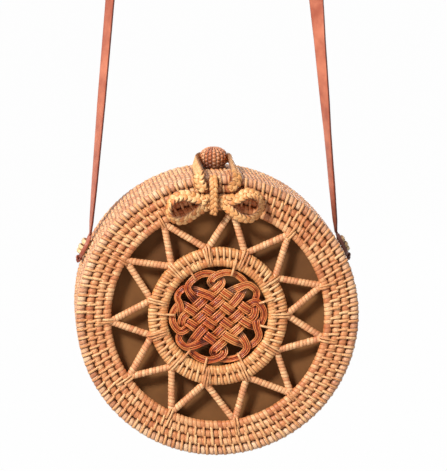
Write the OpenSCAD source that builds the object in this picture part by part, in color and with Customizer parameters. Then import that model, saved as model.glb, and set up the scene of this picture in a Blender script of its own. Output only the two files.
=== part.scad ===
// Round coiled rattan shoulder bag: a back half and a hinged lid, each a coiled wall with a coiled
// face. The lid's face is open: eleven wrapped rod points hold an inner ring with a plaited knot.
// Millimetres, +Z up, the front faces -Y, +X is to the right of someone who looks at the front.
// The origin is the underside of the strap's crown, where the bag hangs.

/* [Bag body] */
// Outer diameter of the round bag
bag_d = 200; // [180:1:230]
// Depth of each half, the lid and the back
half_depth = 40; // [34:0.5:48]
// Thickness of one rattan coil of the walls and faces
coil_d = 6.1; // [5.5:0.1:6.8]
// Gap between lid and back all round the seam
seam_gap = 0.3; // [0.2:0.05:0.6]
// Coils in the broad ring round the lid's opening
ring_rows = 3; // [2:1:4]
// Depth of the flat that the back's coils have where the bag lies down
back_flat = 0.4; // [0.2:0.05:0.8]

/* [Inner ring and star] */
// Outer diameter of the inner ring
inner_ring_d = 99; // [92:0.5:106]
// Thickness of one coil of the inner ring
inner_coil_d = 7; // [6.6:0.1:7.4]
// Diameter of the wrapped rods of the star
rod_d = 4.8; // [4:0.1:5.4]
// Gap between a rod's end and the ring that it meets
rod_gap = 0.15; // [0.1:0.05:0.3]

/* [Centre knot] */
// Gap between the plaited knot and the inner ring
knot_gap = 0.4; // [0.3:0.1:1.2]
// Thickness of the bundle
bundle_t = 1.2; // [1:0.1:1.3]
// Height of the weave above and below the knot's middle
weave_h = 0.9; // [0.86:0.02:1.1]

/* [Knob and closure] */
// Distance of the knob's middle behind the seam
knob_y = 12; // [11:0.25:14]
// Largest diameter of the knob
knob_d = 18.8; // [16:0.2:19.6]
// Height of the knob above the wall
knob_h = 15; // [13.5:0.25:18]
// Diameter of the peg that holds the knob
peg_d = 4.4; // [3:0.1:5.5]
// Width of the braided cord of the bow and the closing loop
cord_w = 6.3; // [5.6:0.1:6.6]
// Thickness of the braided cord
cord_t = 4.4; // [3.8:0.1:4.8]
// Distance of the bow's middle below the top of the wall
bow_drop = 17; // [16:0.25:18]
// Length of one loop of the bow, from the middle
bow_l = 27; // [22:0.5:30]

/* [Lining] */
// Thickness of the lining cloth
lining_t = 0.8; // [0.5:0.05:1.2]
// Gap between the lining and the coils
lining_gap = 0.25; // [0.2:0.05:0.5]

/* [Bottom ties] */
// Distance of each tie from the middle
tie_x = 15; // [12:0.5:22]
// Radius of a tie, from the hinge line to the middle of its strip
tie_r = 4.2; // [3.8:0.1:4.4]
// Thickness of a tie's strip
tie_t = 1.8; // [1.4:0.1:2]

/* [Strap] */
// Width of the leather strap
strap_w = 11; // [9:0.25:13]
// Thickness of the leather strap
strap_t = 1.8; // [1.4:0.1:2.2]
// Width of the strap where it goes into the eyes
strap_end_w = 7.6; // [6.6:0.1:8]
// Height of the crown's centre above the eyes
crown_rise = 521; // [350:1:620]
// Radius of the crown, to the middle of the strap
crown_r = 42; // [34:0.5:60]

/* [Strap eyes] */
// Angle of the eyes above the bag's middle
lug_deg = 25.3; // [20:0.1:32]
// Distance of the eyes behind the seam
lug_y = 11; // [10:0.25:14]
// Height of an eye off the wall
lug_h = 7.4; // [7:0.1:8.6]
// Thickness of an eye's arch
lug_t = 2.5; // [2:0.1:2.7]
// Width of an eye along the bag's rim
lug_l = 12; // [10:0.25:14]

/* [Hidden] */
$fn = 48;
// Segments of the great revolves and of short arcs
big_fn = 120;
eps = 0.01;
overrun = 2;
join_gap = 0.1;

bag_r = bag_d / 2;
coil_r = coil_d / 2;
inner_coil_r = inner_coil_d / 2;

// Wall: coils from the seam's edge coil to the corner coil, at one radius
wall_lap_share = 0.93;
wall_r = bag_r - coil_r;
edge_a = seam_gap / 2 + coil_r;
corner_a = half_depth - coil_r;
wall_rows = ceil((corner_a - edge_a) / (coil_d * wall_lap_share));
wall_pitch = (corner_a - edge_a) / wall_rows;

// Faces: concentric coils out to the one that meets the corner coil
face_lap_share = 0.992;
face_last_r = wall_r - coil_d - join_gap;
face_rows = ceil(face_last_r / (coil_d * face_lap_share));
face_pitch = face_last_r / face_rows;
opening_r = face_last_r - (ring_rows - 1) * face_pitch - coil_r;

// Inner ring: two coils
inner_lap_share = 0.98;
inner_r = inner_ring_d / 2;
inner_pitch = inner_coil_d * inner_lap_share;
inner_outer_coil_r = inner_r - inner_coil_r;
inner_inner_coil_r = inner_outer_coil_r - inner_pitch;

// Star: where its points meet the broad ring and the inner ring, in degrees from +X
outer_points = [16.1, 49.2, 82.3, 119.8, 148.1, 182.3, 214.1, 244.3, 278.9, 312.7, 347.6];
inner_points = [33.7, 66.7, 98.8, 132.3, 165.5, 196, 227.4, 259.3, 294.9, 328.8, 360.4];
point_count = len(outer_points);
rod_from_r = opening_r - rod_gap;
rod_to_r = inner_r + rod_gap;
mitre_gap = 0.05;

// Lining
wall_inside_r = wall_r - coil_r;
back_lining_a = corner_a - coil_r - lining_gap - lining_t;
lid_lining_a = corner_a - max(coil_r, inner_coil_r) - lining_gap - lining_t;
lining_r = wall_inside_r - lining_gap;
lining_edge_a = seam_gap / 2 + lining_t;
lining_wall_t = lining_t;
lining_corner_gap = 0.1;

// Hinge line at the bottom of the seam
hinge_drop = 0.3;
hinge_line_z = -(bag_r + hinge_drop);
tie_clear = 0.35;
tie_tip = tie_r + tie_t / 2;

// Knob
knob_seat = 0.1;
knob_side_share = 1.7;
knob_dome_share = 1.38;
knob_belly_share = 0.45;
peg_clear = 0.1;
peg_in_knob_share = 0.58;
peg_end_inset = 0.3;

// Cord of the bow and the closing loop
cord_seat = 0.35;
cord_a = half_depth + cord_t / 2 + cord_seat;
cord_sides = 8;
bow_x = -1.5;
bow_z = bag_r - bow_drop;
wrap_x = -3.5;
wrap_w = 6.6;
wrap_t = 4;
// Heights of the wrap above the bow's middle where it leaves the corner, and of its two ends
wrap_leave = 12;
wrap_over = 9;
wrap_under = 5;
wrap_end = 9.5;

// Centres of the bow's loops, as shares of the loop's length from the bow's middle
left_loop_share = [
    [-0.22, 0.08], [-0.38, 0.07], [-0.57, 0.13], [-0.8, 0.21], [-1.04, 0.14], [-1.18, -0.12],
    [-1.13, -0.4], [-0.92, -0.51], [-0.7, -0.43], [-0.49, -0.24], [-0.23, -0.12]
];
right_loop_share = [
    [0.22, 0.08], [0.38, 0.06], [0.56, 0.13], [0.77, 0.24], [1, 0.22], [1.15, 0.04],
    [1.15, -0.23], [0.93, -0.46], [0.63, -0.43], [0.41, -0.26], [0.23, -0.12]
];
bow_knot_share = 0.2;
bow_knot_h = 9.4;
bow_knot_round = 2;

// Strap's eye and the flex point just above it
lug_foot = 0.1;
lug_round = 2.8;
lug_half_y = 7.2;
tail_x = 2.9;
tail_w = 4.4;
flex_gap = 0.5;
flex_up = lug_l / 2 + strap_end_w / 2 + flex_gap;
flex_t = 2.4;
flex_clear = 0.3;
tail_knot_r = 3.6;
tail_knot_gap = 0.3;
tail_tip_l = 4.5;
flex_x = (bag_r + tail_x) * cos(lug_deg) - flex_up * sin(lug_deg);
flex_z = (bag_r + tail_x) * sin(lug_deg) + flex_up * cos(lug_deg);

// Strap's run: straight from the flex point to where it meets the crown's arc
flex_reach = norm([flex_x, crown_rise]);
run_l = sqrt(flex_reach * flex_reach - crown_r * crown_r);
crown_deg = acos(crown_r / flex_reach) - atan2(crown_rise, flex_x);
bag_drop = flex_z + crown_rise + crown_r - strap_t / 2;
strap_taper_l = 40;
strap_bevel = 0.4;
run_steps = 34;
arc_steps = 16;
// Share of a run over which the right side makes its half turn, and how the left side gathers it
right_twist_share = 0.74;
left_twist_power = 1.15;

echo(str("strap length between the eyes, mm: ", 2 * run_l + crown_r * (180 + 2 * crown_deg) * PI / 180));
echo(str("opening radius, mm: ", opening_r));

function rod_name(i) = str("star_rod_", i < 9 ? "0" : "", i + 1);

straw = "#dba66c";
pale_straw = "#e6c183";
dark_rattan = "#b5683c";
leather = "#c07a5c";
cloth = "#65502f";

// The bag's own frame: its centre, with the strap's plane at the origin
module at_bag() {
    translate([0, -lug_y, -bag_drop]) children();
}

// Revolved and flat things of the lid: local Z points out of the front
module lid_frame() {
    at_bag() rotate([90, 0, 0]) children();
}

// Revolved and flat things of the back: local Z points out of the back
module back_frame() {
    at_bag() rotate([-90, 0, 0]) children();
}

// On one eye: local X out from the wall, local Z along the rim, upwards
module lug_frame(side) {
    at_bag() mirror([side < 0 ? 1 : 0, 0, 0])
        rotate([0, -lug_deg, 0]) translate([bag_r, lug_y, 0]) children();
}

module wall_profile() {
    for (k = [0 : wall_rows]) translate([wall_r, edge_a + k * wall_pitch]) circle(r = coil_r);
}

// Notches that the bottom ties pass through, in the bag's frame
module tie_notches() {
    for (side = [-1, 1])
        translate([side * tie_x - tie_t / 2 - tie_clear, -tie_tip - tie_clear, hinge_line_z - tie_tip])
            cube([tie_t + 2 * tie_clear, 2 * (tie_tip + tie_clear), 2 * tie_tip + tie_clear]);
}

module lid_wall() {
    color(straw) difference() {
        lid_frame() rotate_extrude($fn = big_fn) wall_profile();
        at_bag() tie_notches();
    }
}

module back_wall() {
    color(straw) difference() {
        back_frame() rotate_extrude($fn = big_fn) wall_profile();
        at_bag() tie_notches();
        at_bag() translate([0, knob_y, wall_inside_r - overrun])
            cylinder(d = peg_d + 2 * peg_clear, h = coil_d + 2 * overrun);
    }
}

module face_coils(first_row) {
    intersection() {
        union() for (k = [first_row : face_rows]) translate([k * face_pitch, 0]) circle(r = coil_r);
        translate([0, -coil_d]) square([bag_r, 2 * coil_d]);
    }
}

module back_face() {
    color(straw) back_frame() rotate_extrude($fn = big_fn) intersection() {
        translate([0, corner_a + back_flat]) face_coils(0);
        square([bag_r, half_depth]);
    }
}

module lid_ring() {
    color(straw) lid_frame() rotate_extrude($fn = big_fn)
        translate([0, corner_a]) face_coils(face_rows - ring_rows + 1);
}

module inner_ring() {
    color(straw) lid_frame() rotate_extrude($fn = big_fn) translate([0, corner_a])
        for (r = [inner_inner_coil_r, inner_outer_coil_r]) translate([r, 0]) circle(r = inner_coil_r);
}

function polar(r, deg) = r * [cos(deg), sin(deg)];

// One straight rod from a point on the broad ring to one on the inner ring. Both ends are cut flat
// where they meet the rings, and mitred against the next rod.
module star_rod(outer_deg, inner_deg) {
    from = polar(opening_r, outer_deg);
    to = polar(inner_r, inner_deg);
    run = to - from;
    half = (inner_deg - outer_deg) / 2;
    turn = inner_deg > outer_deg ? 1 : -1;
    inset = [-sin(outer_deg), cos(outer_deg)] * mitre_gap * turn;
    inset_in = [sin(inner_deg), -cos(inner_deg)] * mitre_gap * turn;
    reach = bag_r;
    color(straw) lid_frame() translate([0, 0, corner_a]) intersection() {
        translate([from[0], from[1], 0]) rotate([0, 0, atan2(run[1], run[0])]) rotate([0, 90, 0])
            translate([0, 0, -rod_d]) cylinder(d = rod_d, h = norm(run) + 2 * rod_d);
        translate([0, 0, -rod_d]) linear_extrude(2 * rod_d) polygon([
            inset, polar(reach, outer_deg) + inset, polar(reach, inner_deg) + inset_in, inset_in]);
        rotate([0, 0, outer_deg]) translate([0, -reach, -rod_d]) cube([rod_from_r, 2 * reach, 2 * rod_d]);
        rotate([0, 0, inner_deg]) translate([rod_to_r, -reach, -rod_d]) cube([reach, 2 * reach, 2 * rod_d]);
    }
}

// Rods in order round the star: even ones climb from an inner point to the outer point before it
module star_rod_at(i) {
    k = floor(i / 2);
    next = (k + 1) % point_count;
    wrap = k + 1 == point_count ? 360 : 0;
    if (i % 2 == 0) star_rod(outer_points[k], inner_points[k]);
    else star_rod(outer_points[next] + wrap, inner_points[k]);
}

// A strip that hugs the front of a coil, in the plane through the bag's axis at one angle
lashing_w = 1.7;
lashing_t = 0.45;
lashing_seat = 0.05;
module lashing(deg, ring_r, ring_coil_r, from_deg, to_deg) {
    lid_frame() rotate([0, 0, deg]) translate([ring_r, 0, corner_a]) rotate([90, 0, 0])
        rotate([0, 0, from_deg]) rotate_extrude(angle = to_deg - from_deg)
            translate([ring_coil_r + lashing_seat, -lashing_w / 2]) square([lashing_t, lashing_w]);
}

outer_lashing_from = 30;
outer_lashing_to = 138;
module outer_lashings() {
    color(pale_straw) for (deg = outer_points)
        lashing(deg, opening_r + coil_r, coil_r, outer_lashing_from, outer_lashing_to);
}

inner_lashing_from = 44;
inner_lashing_to = 150;
module inner_lashings() {
    color(pale_straw) for (deg = inner_points)
        lashing(deg, inner_outer_coil_r, inner_coil_r, inner_lashing_from, inner_lashing_to);
}

// Plaited knot: five bundles one way over and under five the other way, all one closed line. At the
// rim each end turns along the ring and comes back in at the third end on, so the turns overlap.
// Headings of the rising and the falling rows, in degrees from +X
rising_deg = 41;
falling_deg = 143;
up_dir = polar(1, rising_deg);
left_dir = polar(1, falling_deg);
knot_r = inner_inner_coil_r - inner_coil_r - knot_gap;
bundle_w_share = 0.1468;
bundle_w = bundle_w_share * knot_r;
knot_a = corner_a + weave_h + bundle_t / 2;
rim_share = 0.912;
knot_reach = rim_share * knot_r;
// Places of the rows across their headings, as shares of the knot's radius
rising_share = [-0.4548, -0.2418, 0.0086, 0.2274, 0.449];
falling_share = [-0.449, -0.213, -0.0115, 0.2389, 0.4577];
// Where two turns cross each other at the rim: degrees from +X, and shares of the knot's radius
meet_deg = [49.5, 93, 137, 162, 201, 226.5, 271, 314, 344.5, 381.5];
meet_share = [0.832, 0.835, 0.832, 0.803, 0.803, 0.832, 0.835, 0.832, 0.803, 0.803];
// Where the turns at the top and the bottom swing out before they cross
swing_deg = 8.8;
swing_share = 0.72;
knot_steps = 4;
weave_gain = 2.2;

// The ends of the rows are numbered round the rim: 0 to 4 rising, at the upper right, 5 to 9
// falling, 10 to 14 rising and 15 to 19 falling
function crossing(d, e) = knot_r * (d * left_dir + e * up_dir) / sin(falling_deg - rising_deg);
function row_place(end, k) =
    end < 5 ? crossing(rising_share[end], falling_share[4 - k]) :
    end < 10 ? crossing(rising_share[4 - k], falling_share[9 - end]) :
    end < 15 ? crossing(rising_share[14 - end], falling_share[k]) :
    crossing(rising_share[k], falling_share[end - 15]);
function far_end(end) = (floor(end / 5) % 2 == 0 ? 14 : 24) - end;
function next_end(end) = (end + (end % 2 == 0 ? 3 : 17)) % 20;
function turn_places(end) =
    let (
        ahead = end % 2 == 0,
        k = (ahead ? end : next_end(end)) / 2,
        a = ahead ? (k + 9) % 10 : k,
        b = ahead ? k : (k + 9) % 10,
        from = meet_deg[a],
        sweep = (meet_deg[b] - from + 540) % 360 - 180,
        swing = sign(sweep) * swing_deg)
    concat(
        a % 5 == 1 ? [[polar(swing_share * knot_r, from - swing), 0.5]] : [],
        [[polar(meet_share[a] * knot_r, from), 1],
         [polar(knot_reach, from + sweep / 3), 4 / 3],
         [polar(knot_reach, from + sweep * 2 / 3), 5 / 3],
         [polar(meet_share[b] * knot_r, from + sweep), 2]],
        b % 5 == 1 ? [[polar(swing_share * knot_r, from + sweep + swing), 2.5]] : []);
// Each place is [point, phase]: the bundle is over at one whole phase and under at the next
function knot_places(end = 0, phase = 0) =
    let (out = far_end(end), next = next_end(out))
    concat(
        [for (k = [0 : 4]) [row_place(end, k), phase + k]],
        [for (q = turn_places(out)) [q[0], phase + 4 + q[1]]],
        next == 0 ? [] : knot_places(next, phase + 7));

function clip(v) = max(-1, min(1, v));
function spline(a, b, c, d, f) =
    0.5 * (2 * b + (c - a) * f + (2 * a - 5 * b + 4 * c - d) * f * f + (3 * b - a - 3 * c + d) * f * f * f);

// Closed strand as [x, y, z] points: a smooth curve through its places, over and under by phase
function strand_points(places) =
    let (n = len(places))
    [for (i = [0 : n - 1], s = [0 : knot_steps - 1])
        let (
            f = s / knot_steps,
            p = spline(places[(i + n - 1) % n][0], places[i][0], places[(i + 1) % n][0],
                       places[(i + 2) % n][0], f),
            gap = (i + 1 < n ? places[i + 1][1] : floor(places[i][1]) + 1) - places[i][1],
            phase = places[i][1] + f * gap)
        [p[0], p[1], weave_h * clip(weave_gain * cos(180 * phase))]];

// Half outline of the bundle's flat section, as shares of its width and thickness
bundle_share = [
    [0.5, 0.18], [0.4, 0.5], [-0.4, 0.5], [-0.5, 0.18],
    [-0.5, -0.18], [-0.4, -0.5], [0.4, -0.5], [0.5, -0.18]];

function unit(v) = v / norm(v);

// Skin of a closed tube: rings of points joined in a loop
function loop_faces(n, m) = [for (i = [0 : n - 1], j = [0 : m - 1])
    let (i2 = (i + 1) % n, j2 = (j + 1) % m)
    each [[i * m + j, i * m + j2, i2 * m + j2], [i * m + j, i2 * m + j2, i2 * m + j]]];
// Skin of an open tube: rings joined in a row, with both ends closed
function tube_faces(n, m) = concat(
    [for (i = [0 : n - 2], j = [0 : m - 1])
        let (j2 = (j + 1) % m)
        each [[i * m + j, i * m + j2, (i + 1) * m + j2], [i * m + j, (i + 1) * m + j2, (i + 1) * m + j]]],
    [for (j = [1 : m - 2]) each [[0, j + 1, j],
        [(n - 1) * m, (n - 1) * m + j, (n - 1) * m + j + 1]]]);

module knot_strand(pts) {
    n = len(pts);
    rings = [for (i = [0 : n - 1])
        let (
            along = unit(pts[(i + 1) % n] - pts[(i + n - 1) % n]),
            side = unit(cross([0, 0, 1], along)),
            up = cross(along, side))
        each [for (q = bundle_share) pts[i] + side * q[0] * bundle_w + up * q[1] * bundle_t]];
    polyhedron(points = rings, faces = loop_faces(n, len(bundle_share)));
}

// Least gap between the flat sides of two passes, taken where one crosses the other
function apart(i, j, n) = min(abs(i - j), n - abs(i - j)) > 3 * knot_steps;
function least_gap(pts) = min([
    for (i = [0 : len(pts) - 1], j = [i + 1 : len(pts) - 1])
        let (p = pts[i], q = pts[j], d = norm([p[0] - q[0], p[1] - q[1]]))
        if (d < bundle_w / 2 && apart(i, j, len(pts))) abs(p[2] - q[2]) - bundle_t]);

module centre_knot() {
    pts = strand_points(knot_places());
    echo(str("least gap between crossing bundles, mm: ", least_gap(pts)));
    echo(str("knot's reach, mm: ", max([for (p = pts) norm([p[0], p[1]])]) + bundle_w / 2));
    color(dark_rattan) lid_frame() translate([0, 0, knot_a]) knot_strand(pts);
}

// Short strips that hang the knot in the inner ring
tie_angles = [17.9, 72.4, 121, 176.6, 229.8, 254.7, 297.3, 347.5];
knot_tie_w = 1.4;
knot_tie_t = 0.7;
knot_tie_in = 3;
knot_tie_seat = 0.05;
module knot_ties() {
    from_r = knot_r - knot_tie_in;
    to_r = inner_inner_coil_r + inner_coil_r - knot_tie_w / 2;
    color(pale_straw) lid_frame() for (deg = tie_angles) rotate([0, 0, deg])
        translate([0, 0, corner_a + inner_coil_r + knot_tie_seat]) linear_extrude(knot_tie_t) {
            translate([from_r, -knot_tie_w / 2]) square([to_r - from_r, knot_tie_w]);
            for (r = [from_r, to_r]) translate([r, 0]) circle(d = knot_tie_w);
        }
}

module lining_disc(a) {
    translate([0, 0, a]) cylinder(r = lining_r, h = lining_t, $fn = big_fn);
}

module lining_wall(to_a) {
    rotate_extrude($fn = big_fn) translate([lining_r - lining_wall_t, lining_edge_a])
        square([lining_wall_t, to_a - lining_corner_gap - lining_edge_a]);
}

module lid_lining() { color(cloth) lid_frame() lining_disc(lid_lining_a); }
module lid_wall_lining() { color(cloth) lid_frame() lining_wall(lid_lining_a); }
module back_lining() { color(cloth) back_frame() lining_disc(back_lining_a); }
module back_wall_lining() { color(cloth) back_frame() lining_wall(back_lining_a); }

module knob() {
    side_r = knob_side_share * knob_d / 2;
    dome_r = knob_dome_share * knob_d / 2;
    color(dark_rattan) at_bag() translate([0, knob_y, bag_r + knob_seat]) difference() {
        rotate_extrude($fn = big_fn) intersection() {
            translate([knob_d / 2 - side_r, knob_h * knob_belly_share]) circle(r = side_r);
            translate([0, knob_h - dome_r]) circle(r = dome_r);
            square([knob_d, knob_h]);
        }
        translate([0, 0, -overrun]) cylinder(d = peg_d + 2 * peg_clear,
                                             h = knob_h * peg_in_knob_share + overrun + peg_clear);
    }
}

module knob_peg() {
    foot_z = wall_inside_r + peg_end_inset;
    color(straw) at_bag() translate([0, knob_y, foot_z])
        cylinder(d = peg_d, h = bag_r + knob_seat + knob_h * peg_in_knob_share - foot_z);
}

// Rattan eye: an arch that stands on the wall, with the strap's end under it
module lug(side) {
    color(pale_straw) lug_frame(side) translate([0, 0, -lug_l / 2]) linear_extrude(lug_l)
        difference() {
            union() {
                translate([lug_foot, -lug_half_y])
                    square([lug_h - lug_round - lug_foot, 2 * lug_half_y]);
                translate([lug_foot, lug_round - lug_half_y])
                    square([lug_h - lug_foot, 2 * (lug_half_y - lug_round)]);
                for (y = [lug_round - lug_half_y, lug_half_y - lug_round])
                    translate([lug_h - lug_round, y]) circle(r = lug_round);
            }
            translate([-overrun, lug_t - lug_half_y])
                square([lug_h - lug_t + overrun, 2 * (lug_half_y - lug_t)]);
        }
}
module lug_left() { lug(-1); }
module lug_right() { lug(1); }

// The strap's knotted end: through the eye, knotted below it, hollowed at the top round the flex line
module strap_end(side) {
    knot_z = -(lug_l / 2 + tail_knot_gap + tail_knot_r);
    color(leather) difference() {
        lug_frame(side) {
            translate([tail_x - strap_t / 2, -tail_w / 2, knot_z]) cube([strap_t, tail_w, flex_up - knot_z]);
            translate([tail_x + strap_t / 2, 0, knot_z]) sphere(r = tail_knot_r);
            translate([tail_x, -tail_w / 2, knot_z - tail_knot_r - tail_tip_l / 2])
                cube([strap_t, tail_w, tail_tip_l]);
        }
        at_bag() translate([side * flex_x, lug_y, flex_z]) rotate([0, 90, 0])
            cylinder(d = strap_end_w + 2 * flex_clear, h = 4 * flex_t, center = true);
    }
}
module strap_end_left() { strap_end(-1); }
module strap_end_right() { strap_end(1); }

module bottom_tie(side) {
    color(pale_straw) at_bag() translate([side * tie_x, 0, hinge_line_z]) rotate([0, 90, 0])
        rotate_extrude() translate([tie_r, 0]) circle(d = tie_t);
}
module bottom_tie_left() { bottom_tie(-1); }
module bottom_tie_right() { bottom_tie(1); }

// Strap: one side's places as [x, z, heading of the normal, height share of the run, side]
function smooth(v) = let (u = max(0, min(1, v))) u * u * (3 - 2 * u);
function run_place(side, h) =
    let (d = polar(1, crown_deg))
    [side * (flex_x + (crown_r * d[0] - flex_x) * h / run_l),
     -(bag_drop - flex_z) + (crown_rise + crown_r * d[1]) * h / run_l];
function run_twist(side, h) =
    side > 0 ? 180 * smooth(h / (right_twist_share * run_l)) : 180 * pow(h / run_l, left_twist_power);
function strap_width(h) = strap_end_w + (strap_w - strap_end_w) * smooth(h / strap_taper_l);

// Outline of the strap's section: a flat bar with broken edges
function strap_outline(w) = [
    [w / 2, strap_t / 2 - strap_bevel], [w / 2 - strap_bevel, strap_t / 2],
    [strap_bevel - w / 2, strap_t / 2], [-w / 2, strap_t / 2 - strap_bevel],
    [-w / 2, strap_bevel - strap_t / 2], [strap_bevel - w / 2, -strap_t / 2],
    [w / 2 - strap_bevel, -strap_t / 2], [w / 2, strap_bevel - strap_t / 2]];

// One ring of the strap: its middle, the outward normal's angle in the strap's plane, and the twist
function strap_ring(mid, normal_deg, twist, w) =
    let (
        out = [cos(normal_deg), 0, sin(normal_deg)],
        wide = cos(twist) * [0, 1, 0] + sin(twist) * out,
        thick = cos(twist) * out - sin(twist) * [0, 1, 0])
    [for (q = strap_outline(w)) [mid[0], 0, mid[1]] + q[0] * wide + q[1] * thick];

module shoulder_strap() {
    crown_mid = strap_t / 2 - crown_r;
    rings = concat(
        [for (k = [0 : run_steps]) let (h = run_l * k / run_steps)
            strap_ring(run_place(1, h), crown_deg, run_twist(1, h), strap_width(h))],
        [for (k = [1 : arc_steps - 1]) let (deg = crown_deg + (180 - 2 * crown_deg) * k / arc_steps)
            strap_ring([crown_r * cos(deg), crown_mid + crown_r * sin(deg)], deg, 180, strap_w)],
        [for (k = [0 : run_steps]) let (h = run_l * (run_steps - k) / run_steps)
            strap_ring(run_place(-1, h), 180 - crown_deg, run_twist(-1, h), strap_width(h))]);
    color(leather) {
        polyhedron(points = [for (r = rings) each r], faces = tube_faces(len(rings), len(rings[0])));
        for (side = [-1, 1]) at_bag() translate([side * flex_x, lug_y, flex_z]) rotate([0, 90, 0])
            cylinder(d = strap_end_w, h = flex_t, center = true);
    }
}

// Braided cord as an oval tube through places [x, y, z, tilt]: tilt turns its flat side from the
// front, at 0, to the top, at 90
cord_steps = 4;
function cord_points(places) =
    let (n = len(places))
    [for (i = [0 : n - 2], s = [0 : cord_steps - (i == n - 2 ? 0 : 1)])
        spline(places[max(0, i - 1)], places[i], places[i + 1], places[min(n - 1, i + 2)],
               s / cord_steps)];
module cord(places, w, t) {
    pts = cord_points(places);
    n = len(pts);
    rings = [for (i = [0 : n - 1])
        let (
            ahead = pts[min(n - 1, i + 1)], behind = pts[max(0, i - 1)],
            along = unit([ahead[0] - behind[0], ahead[1] - behind[1], ahead[2] - behind[2]]),
            face = [0, -cos(pts[i][3]), sin(pts[i][3])],
            side = unit(cross(face, along)),
            up = cross(along, side),
            end_share = i == 0 || i == n - 1 ? 0.6 : 1)
        each [for (k = [0 : cord_sides - 1])
            let (deg = 360 * (k + 0.5) / cord_sides)
            [pts[i][0], pts[i][1], pts[i][2]]
                + end_share * (side * cos(deg) * w / 2 + up * sin(deg) * t / 2)]];
    polyhedron(points = rings, faces = tube_faces(n, cord_sides));
}

module bow_loop(shares) {
    color(pale_straw) at_bag()
        cord([for (q = shares) [bow_x + q[0] * bow_l, -cord_a, bow_z + q[1] * bow_l, 0]], cord_w, cord_t);
}
module bow_loop_left() { bow_loop(left_loop_share); }
module bow_loop_right() { bow_loop(right_loop_share); }

// The knot in the middle of the bow, under the wrap
module bow_knot() {
    half_w = bow_knot_share * bow_l;
    color(pale_straw) lid_frame() translate([bow_x, bow_z, cord_a - cord_t / 2]) linear_extrude(cord_t)
        union() {
            square([2 * half_w, bow_knot_h - 2 * bow_knot_round], center = true);
            square([2 * (half_w - bow_knot_round), bow_knot_h], center = true);
            for (x = [-1, 1], z = [-1, 1])
                translate([x * (half_w - bow_knot_round), z * (bow_knot_h / 2 - bow_knot_round)])
                    circle(r = bow_knot_round);
        }
}

// A place of a cord of one thickness that bends over the lid's corner coil: q runs from the front,
// at 0, to the top, at 90
function corner_place(x, t, gap, q) =
    let (reach = coil_r + t / 2 + gap, r = wall_r + reach * sin(q))
    [x, -(corner_a + reach * cos(q)), sqrt(r * r - x * x), q];

// The cord's end that binds the bow: from the top corner, over the middle and down past the ring
wrap_from_q = 45;
wrap_to_q = 8;
wrap_lean = 20;
module bow_wrap() {
    over = cord_a + cord_t / 2 + wrap_t / 2 + cord_seat;
    rise = over - cord_a;
    color(pale_straw) at_bag() cord([
        corner_place(wrap_x, wrap_t, cord_seat, wrap_from_q),
        corner_place(wrap_x, wrap_t, cord_seat, wrap_to_q),
        [wrap_x, rise / 3 - over, bow_z + wrap_leave, wrap_lean],
        [wrap_x, -over, bow_z + wrap_over, 0],
        [wrap_x, -over, bow_z, 0],
        [wrap_x, -over, bow_z - wrap_under, 0],
        [wrap_x, rise / 3 - over, bow_z - wrap_end, -wrap_lean]], wrap_w, wrap_t);
}

// The closing loop: up from the bow's knot, over the corner and the wall, round behind the knob
loop_gap = 0.35;
loop_end_gap = 2.6;
loop_end_z = bow_z + bow_knot_h / 2 + loop_end_gap;
loop_side_gap = 0.5;
loop_back_gap = 1.5;
loop_side_x = knob_d / 2 + cord_w / 2 + loop_side_gap;
loop_back_y = knob_y + knob_d / 2 + cord_w / 2 + loop_back_gap;
loop_top_z = bag_r + cord_t / 2 + loop_gap;
loop_lift_z = loop_top_z + cord_t / 2;
left_low_x = 8.8;
left_mid_x = 13.4;
right_low_x = 8;
right_mid_x = 12.9;
loop_corner_q = [5, 50, 90];
first_out_share = 0.55;
first_rise_share = 0.5;
function on_wall(x, y, share) =
    [x, y, sqrt(loop_top_z * loop_top_z - x * x) + share * cord_t / 2, 90];
function loop_half(side, low_x, mid_x) = [
    [side * low_x, -cord_a, loop_end_z, 0],
    [side * (low_x + first_out_share * (mid_x - low_x)), -cord_a,
     loop_end_z + first_rise_share * (wall_r - loop_end_z), 0],
    for (q = loop_corner_q) corner_place(side * mid_x, cord_t, loop_gap, q),
    on_wall(side * mid_x, -0.45 * half_depth, 0),
    on_wall(side * mid_x, -0.1 * half_depth, 0.2),
    on_wall(side * (mid_x + loop_side_x) / 2, 0.35 * knob_y, 0.7),
    [side * loop_side_x, knob_y, loop_lift_z, 90],
    [side * 0.8 * loop_side_x, knob_y + 0.42 * knob_d, loop_lift_z, 90],
    [side * 0.42 * loop_side_x, loop_back_y - 0.1 * cord_w, loop_lift_z, 90]];
module closure_loop() {
    right = loop_half(1, right_low_x, right_mid_x);
    color(pale_straw) at_bag() cord(concat(
        loop_half(-1, left_low_x, left_mid_x),
        [[0, loop_back_y, loop_lift_z, 90]],
        [for (k = [len(right) - 1 : -1 : 0]) right[k]]), cord_w, cord_t);
}

shoulder_strap();
strap_end_left();
strap_end_right();
back_face();
back_wall();
back_lining();
back_wall_lining();
knob();
knob_peg();
lug_left();
lug_right();
bottom_tie_left();
bottom_tie_right();
lid_ring();
lid_wall();
lid_lining();
lid_wall_lining();
inner_ring();
for (i = [0 : point_count * 2 - 1]) star_rod_at(i);
outer_lashings();
inner_lashings();
centre_knot();
knot_ties();
bow_loop_left();
bow_loop_right();
bow_knot();
bow_wrap();
closure_loop();
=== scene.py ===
"""Round coiled rattan shoulder bag: woven coils, wrapped star rods, plaited knot, braided bow,
leather strap and cloth lining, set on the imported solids. Lengths are millimetres in the bag's own
frame, from its middle: x to the right, y to the back, z up."""
import math

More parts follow.
